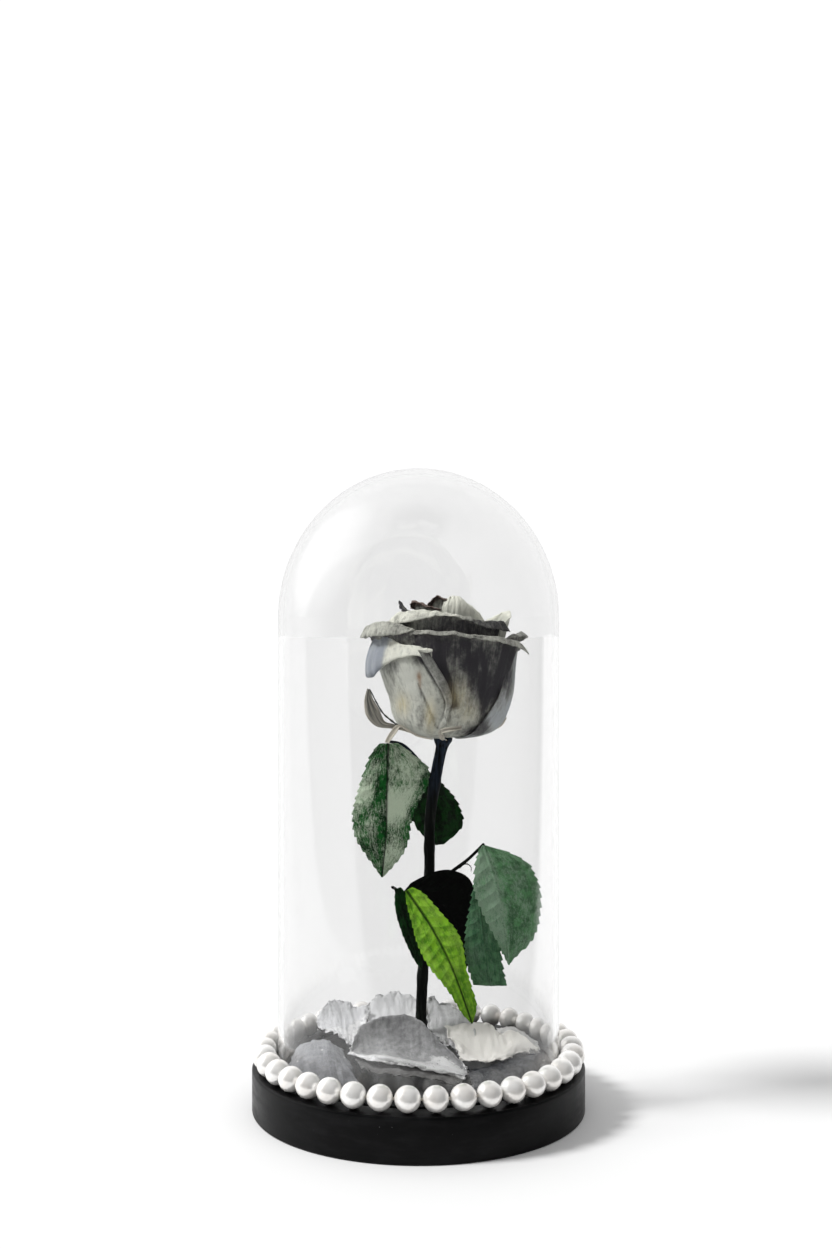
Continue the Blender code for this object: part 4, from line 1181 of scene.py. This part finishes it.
def fallen_material():
    """Thick silver paint over slate: blue and cream places, glitter, a few drops and a painted highlight on
    the edges.
    """
    material, tree, shader = start_material("fallen_silver", Specular_IOR_Level=0.2)
    striae = cloud(tree, "UV", (30, 3, 1), detail=5.0, roughness=0.6)
    mottle = cloud(tree, "Object", 420, detail=8.0, roughness=0.75)
    tone = total(
        attribute(tree, "tone"),
        remap(striae, 0.3, 0.7, -0.05, 0.05),
        remap(mottle, 0.3, 0.7, -0.1, 0.1),
        # Lighter at the very edges, as a painted highlight
        product(attribute(tree, "edge"), 0.16),
    )
    tone = calculate("MULTIPLY", tone, tone, clamp=True)
    colour = paint(tone, SLATE, SILVER)
    colour = paint(product(attribute(tree, "blue"), tone), colour, FALLEN_BLUE)
    colour = paint(attribute(tree, "cream"), colour, FALLEN_CREAM)
    grains = cloud(tree, "Object", 2400, detail=2.0, roughness=0.7)
    patches = cloud(tree, "Object", 500, detail=3.0, roughness=0.6)
    amount = product(attribute(tree, "glitter"), remap(patches, 0.3, 0.6, 0.25, 0.75))
    shown = remap(total(grains, amount), 0.66, 0.86)
    sparkle = product(shown, remap(attribute(tree, "glitter"), 0.0, 0.25))
    colour = paint(sparkle, colour, GLITTER)
    drops = product(specks(tree, 0.17), attribute(tree, "drops"))
    feed(
        shader,
        Base_Color=paint(drops, colour, SILVER),
        Roughness=remap(sparkle, 0.0, 1.0, 0.6, 0.3),
        Metallic=remap(sparkle, 0.0, 1.0, 0.12, 0.7),
    )
    add_bump(shader, total(product(striae, 0.16), product(grains, 0.5)), 0.0003)
    return material


fallen_silver = fallen_material()
u, v = grid(FALLEN_COLUMNS, FALLEN_ROWS)
out_to_edge = np.maximum(np.abs(u), np.abs(2 * v - 1))
sides = 0.5 * smooth((np.abs(u) - 0.8) / 0.2)
for number, (net, looks) in enumerate(zip(FALLEN_PETALS, FALLEN_PAINT_LIGHT_AND_SHADE), start=1):
    back, front, blue, cream, glitter = looks
    lip = smooth((v - 0.52 + 0.35 * smooth((u - 0.1) / 0.7) + grain(u, v, number, (0.12, 5, 5, 0))) / 0.2)
    values = {
        "tone": np.sqrt(back + (front - back) * v),
        "blue": blue,
        "cream": cream,
        "glitter": glitter * np.maximum(lip, sides),
        "drops": 0.8 if number in DROPPED_ON else 0.0,
        "edge": out_to_edge**30,
    }
    name, node = f"loose_petal_{number}", f"fallen_petal_{number}"
    points = fallen_points(net, number * 4.1, u, v, out_to_edge)
    add_sheet(name, points, values, PETAL_THICKNESS, fallen_silver, node)


# The glass dome
# One bell of blown clear glass with a fire-polished foot. It stands loose in the base's groove. The light and
# the shadows that fall through it aren't bent.
DOME_TOP = dome_high.z / MM
DOME_FOOT = dome_low.z / MM
DOME_CAP_HEIGHT = 61.0
DOME_STEPS = 384
DOME_CAP_STEPS = 90
FOOT_STEPS = 12
WALL_MARGIN = 0.4
GLASS_IOR = 1.5
GLASS_TINT = (0.925, 0.925, 0.925, 1.0)
SHADOW_TINT = (0.97, 0.97, 0.97, 1.0)


def dome_arc(radius, cap_height, top):
    """The cap from its pole to where the straight wall starts."""
    angles = [math.pi / 2 * (1 - i / DOME_CAP_STEPS) for i in range(DOME_CAP_STEPS + 1)]
    arc = [Vector((radius * math.cos(a), top - cap_height * (1 - math.sin(a)))) for a in angles]
    arc[0].x = 0.0
    return arc


inner_radius = DOME_RADIUS - GLASS_THICKNESS
outer_arc = dome_arc(DOME_RADIUS, DOME_CAP_HEIGHT, DOME_TOP)
inner_arc = dome_arc(inner_radius, DOME_CAP_HEIGHT - GLASS_THICKNESS, DOME_TOP - GLASS_THICKNESS)[::-1]
foot_radius = GLASS_THICKNESS / 2
foot = []
for angle in [math.pi * k / FOOT_STEPS for k in range(FOOT_STEPS + 1)]:
    radius = DOME_RADIUS - foot_radius + foot_radius * math.cos(angle)
    foot.append(Vector((radius, DOME_FOOT + foot_radius - foot_radius * math.sin(angle))))
# Points close to the ends of the straight wall keep its shading straight, so that it doesn't act as a lens
wall = [DOME_TOP - DOME_CAP_HEIGHT - WALL_MARGIN, DOME_FOOT + foot_radius + WALL_MARGIN]
outer_wall = [Vector((DOME_RADIUS, height)) for height in wall]
inner_wall = [Vector((inner_radius, height)) for height in wall[::-1]]
dome_profile = outer_arc + outer_wall + foot + inner_wall + inner_arc

clear_glass, tree, shader = start_material(
    "clear_glass", Transmission_Weight=1.0, Roughness=0.0, IOR=GLASS_IOR, Base_Color=GLASS_TINT
)
ray = add_node(tree, "ShaderNodeLightPath").outputs
shown = shader.outputs[0]
for kind, tint in (("Is Diffuse Ray", (1, 1, 1, 1)), ("Is Shadow Ray", SHADOW_TINT)):
    through = add_node(tree, "ShaderNodeBsdfTransparent", {0: tint}).outputs[0]
    shown = add_node(tree, "ShaderNodeMixShader", {0: ray[kind], 1: shown, 2: through}).outputs[0]
tree.links.new(shown, tree.nodes["Material Output"].inputs["Surface"])
dome_mesh = turned_mesh("blown_dome", dome_profile, DOME_STEPS)
add_piece("blown_dome", dome_mesh, clear_glass, "glass_dome")


# The pearls
# Thirty-eight cream pearls of 10 mm on a silk thread with a knot between each two, laid in a closed ring
# round the dome's foot.
PEARL_COUNT = 38
PEARL_RADIUS = 5.0
PEARL_RING = 62.45
PEARL_GAP = 0.15
PEARL_HEIGHT = BASE_TOP + PEARL_RADIUS + PEARL_GAP
PEARL_SIZES = (0.975, 1.0)
PEARL_TWIST = (6.28, 6.28, 6.28)
PEARL_SEED = 4
PEARL_SEGMENTS = 36
PEARL_RINGS = 20
FIRST_PEARL = -0.066
KNOT_RADIUS = 0.55
THREAD_RADIUS = 0.22
THREAD_STEPS = 152
THREAD_SIDES = 8
KNOT_SUBDIVISIONS = 2
PEARL_CREAM = (0.9, 0.87, 0.83, 1.0)
PEARL_WHITE = (0.95, 0.94, 0.92, 1.0)
THREAD_SILK = (0.6, 0.56, 0.48, 1.0)
THREAD_SHADE = (0.4, 0.37, 0.31, 1.0)
# The inputs that both the ring of pearls and the knotted thread have, with their kinds
RING_INPUTS = {
    "Ring Radius": "Float", "Height": "Float", "Turn": "Float", "Count": "Int", "Material": "Material",
}


def start_ring(name, inputs):
    """A Geometry Nodes tree with named inputs, and the outputs of its input node."""
    tree = bpy.data.node_groups.new(name, "GeometryNodeTree")
    tree.interface.new_socket("Geometry", in_out="INPUT", socket_type="NodeSocketGeometry")
    for socket_name, kind in {**RING_INPUTS, **inputs}.items():
        tree.interface.new_socket(socket_name, in_out="INPUT", socket_type="NodeSocket" + kind)
    tree.interface.new_socket("Geometry", in_out="OUTPUT", socket_type="NodeSocketGeometry")
    return tree, add_node(tree, "NodeGroupInput").outputs


def placed_ring(tree, entry, count, turn):
    """Points on a ring at the pearls' height, the first one turned from the front by the angle given."""
    ring = add_node(tree, "GeometryNodeMeshCircle", {"Vertices": count, "Radius": entry["Ring Radius"]})
    lift = add_node(tree, "ShaderNodeCombineXYZ", {"Z": entry["Height"]}).outputs[0]
    spin = add_node(tree, "ShaderNodeCombineXYZ", {"Z": turn}).outputs[0]
    inputs = {"Geometry": ring.outputs[0], "Translation": lift, "Rotation": spin}
    return add_node(tree, "GeometryNodeTransform", inputs).outputs[0]


def grown_mesh(name, tree, entry, laid, values):
    """Ends a tree with real geometry and its material, and gives the plain mesh that it makes."""
    real = add_node(tree, "GeometryNodeRealizeInstances", {0: laid}).outputs[0]
    inputs = {"Geometry": real, "Material": entry["Material"]}
    painted = add_node(tree, "GeometryNodeSetMaterial", inputs).outputs[0]
    add_node(tree, "NodeGroupOutput", {0: painted})
    holder = new_object(name + "_holder", bpy.data.meshes.new(name))
    modifier = holder.modifiers.new("Nodes", "NODES")
    modifier.node_group = tree
    for item in tree.interface.items_tree:
        if item.in_out == "INPUT" and item.name in values:
            modifier[item.identifier] = values[item.name]
    mesh = bpy.data.meshes.new_from_object(holder.evaluated_get(bpy.context.evaluated_depsgraph_get()))
    mesh.name = name
    mesh.materials.clear()
    holder.modifiers.remove(modifier)
    bpy.data.objects.remove(holder)
    return mesh


nacre, tree, shader = start_material(
    "nacre", Metallic=0.42, Roughness=0.24, Coat_Weight=0.8, Coat_Roughness=0.12, Coat_IOR=1.55
)
lustre = remap(cloud(tree, "Object", 120, detail=2.0), 0.35, 0.65)
feed(shader, Base_Color=paint(lustre, PEARL_CREAM, PEARL_WHITE))
add_bump(shader, cloud(tree, "Object", 420, detail=2.0), 0.00004)

tree, entry = start_ring("pearl_ring", {"Pearl Radius": "Float", "Seed": "Int"})
ring = placed_ring(tree, entry, entry["Count"], entry["Turn"])
inputs = {"Segments": PEARL_SEGMENTS, "Rings": PEARL_RINGS, "Radius": entry["Pearl Radius"]}
ball = add_node(tree, "GeometryNodeMeshUVSphere", inputs).outputs[0]
inputs = {0: (0.0, 0.0, 0.0), 1: PEARL_TWIST, "Seed": entry["Seed"]}
twist = add_node(tree, "FunctionNodeRandomValue", inputs, data_type="FLOAT_VECTOR").outputs[0]
inputs = {2: PEARL_SIZES[0], 3: PEARL_SIZES[1], "Seed": entry["Seed"]}
size = add_node(tree, "FunctionNodeRandomValue", inputs, data_type="FLOAT").outputs[1]
inputs = {"Points": ring, "Instance": ball, "Rotation": twist, "Scale": size}
laid = add_node(tree, "GeometryNodeInstanceOnPoints", inputs).outputs[0]
ring_values = {"Ring Radius": PEARL_RING * MM, "Height": PEARL_HEIGHT * MM, "Count": PEARL_COUNT}
pearl_values = {
    "Pearl Radius": PEARL_RADIUS * MM, "Turn": FIRST_PEARL - math.pi / 2, "Seed": PEARL_SEED,
    "Material": nacre,
}
pearl_mesh = grown_mesh("pearls", tree, entry, laid, {**ring_values, **pearl_values})
add_piece("pearls", pearl_mesh, nacre, "pearl_string")

silk, tree, shader = start_material("silk_thread", Roughness=0.7)
twist_lines = remap(cloud(tree, "Object", 2500, detail=2.0), 0.3, 0.7)
feed(shader, Base_Color=paint(twist_lines, THREAD_SHADE, THREAD_SILK))

tree, entry = start_ring("knotted_thread", {"Knot Radius": "Float", "Thread Radius": "Float"})
ring = placed_ring(tree, entry, entry["Count"], entry["Turn"])
inputs = {"Radius": entry["Knot Radius"], "Subdivisions": KNOT_SUBDIVISIONS}
knot = add_node(tree, "GeometryNodeMeshIcoSphere", inputs).outputs[0]
knots = add_node(tree, "GeometryNodeInstanceOnPoints", {"Points": ring, "Instance": knot}).outputs[0]
loop = add_node(tree, "GeometryNodeMeshToCurve", {0: placed_ring(tree, entry, THREAD_STEPS, 0.0)}).outputs[0]
inputs = {"Resolution": THREAD_SIDES, "Radius": entry["Thread Radius"]}
section = add_node(tree, "GeometryNodeCurvePrimitiveCircle", inputs).outputs[0]
strand = add_node(tree, "GeometryNodeCurveToMesh", {"Curve": loop, "Profile Curve": section}).outputs[0]
both = add_node(tree, "GeometryNodeJoinGeometry", {0: knots})
tree.links.new(strand, both.inputs[0])
thread_values = {
    "Knot Radius": KNOT_RADIUS * MM, "Thread Radius": THREAD_RADIUS * MM,
    "Turn": FIRST_PEARL - math.pi / 2 + math.pi / PEARL_COUNT, "Material": silk,
}
thread_mesh = grown_mesh("silk_thread", tree, entry, both.outputs[0], {**ring_values, **thread_values})
add_piece("silk_thread", thread_mesh, silk, None)
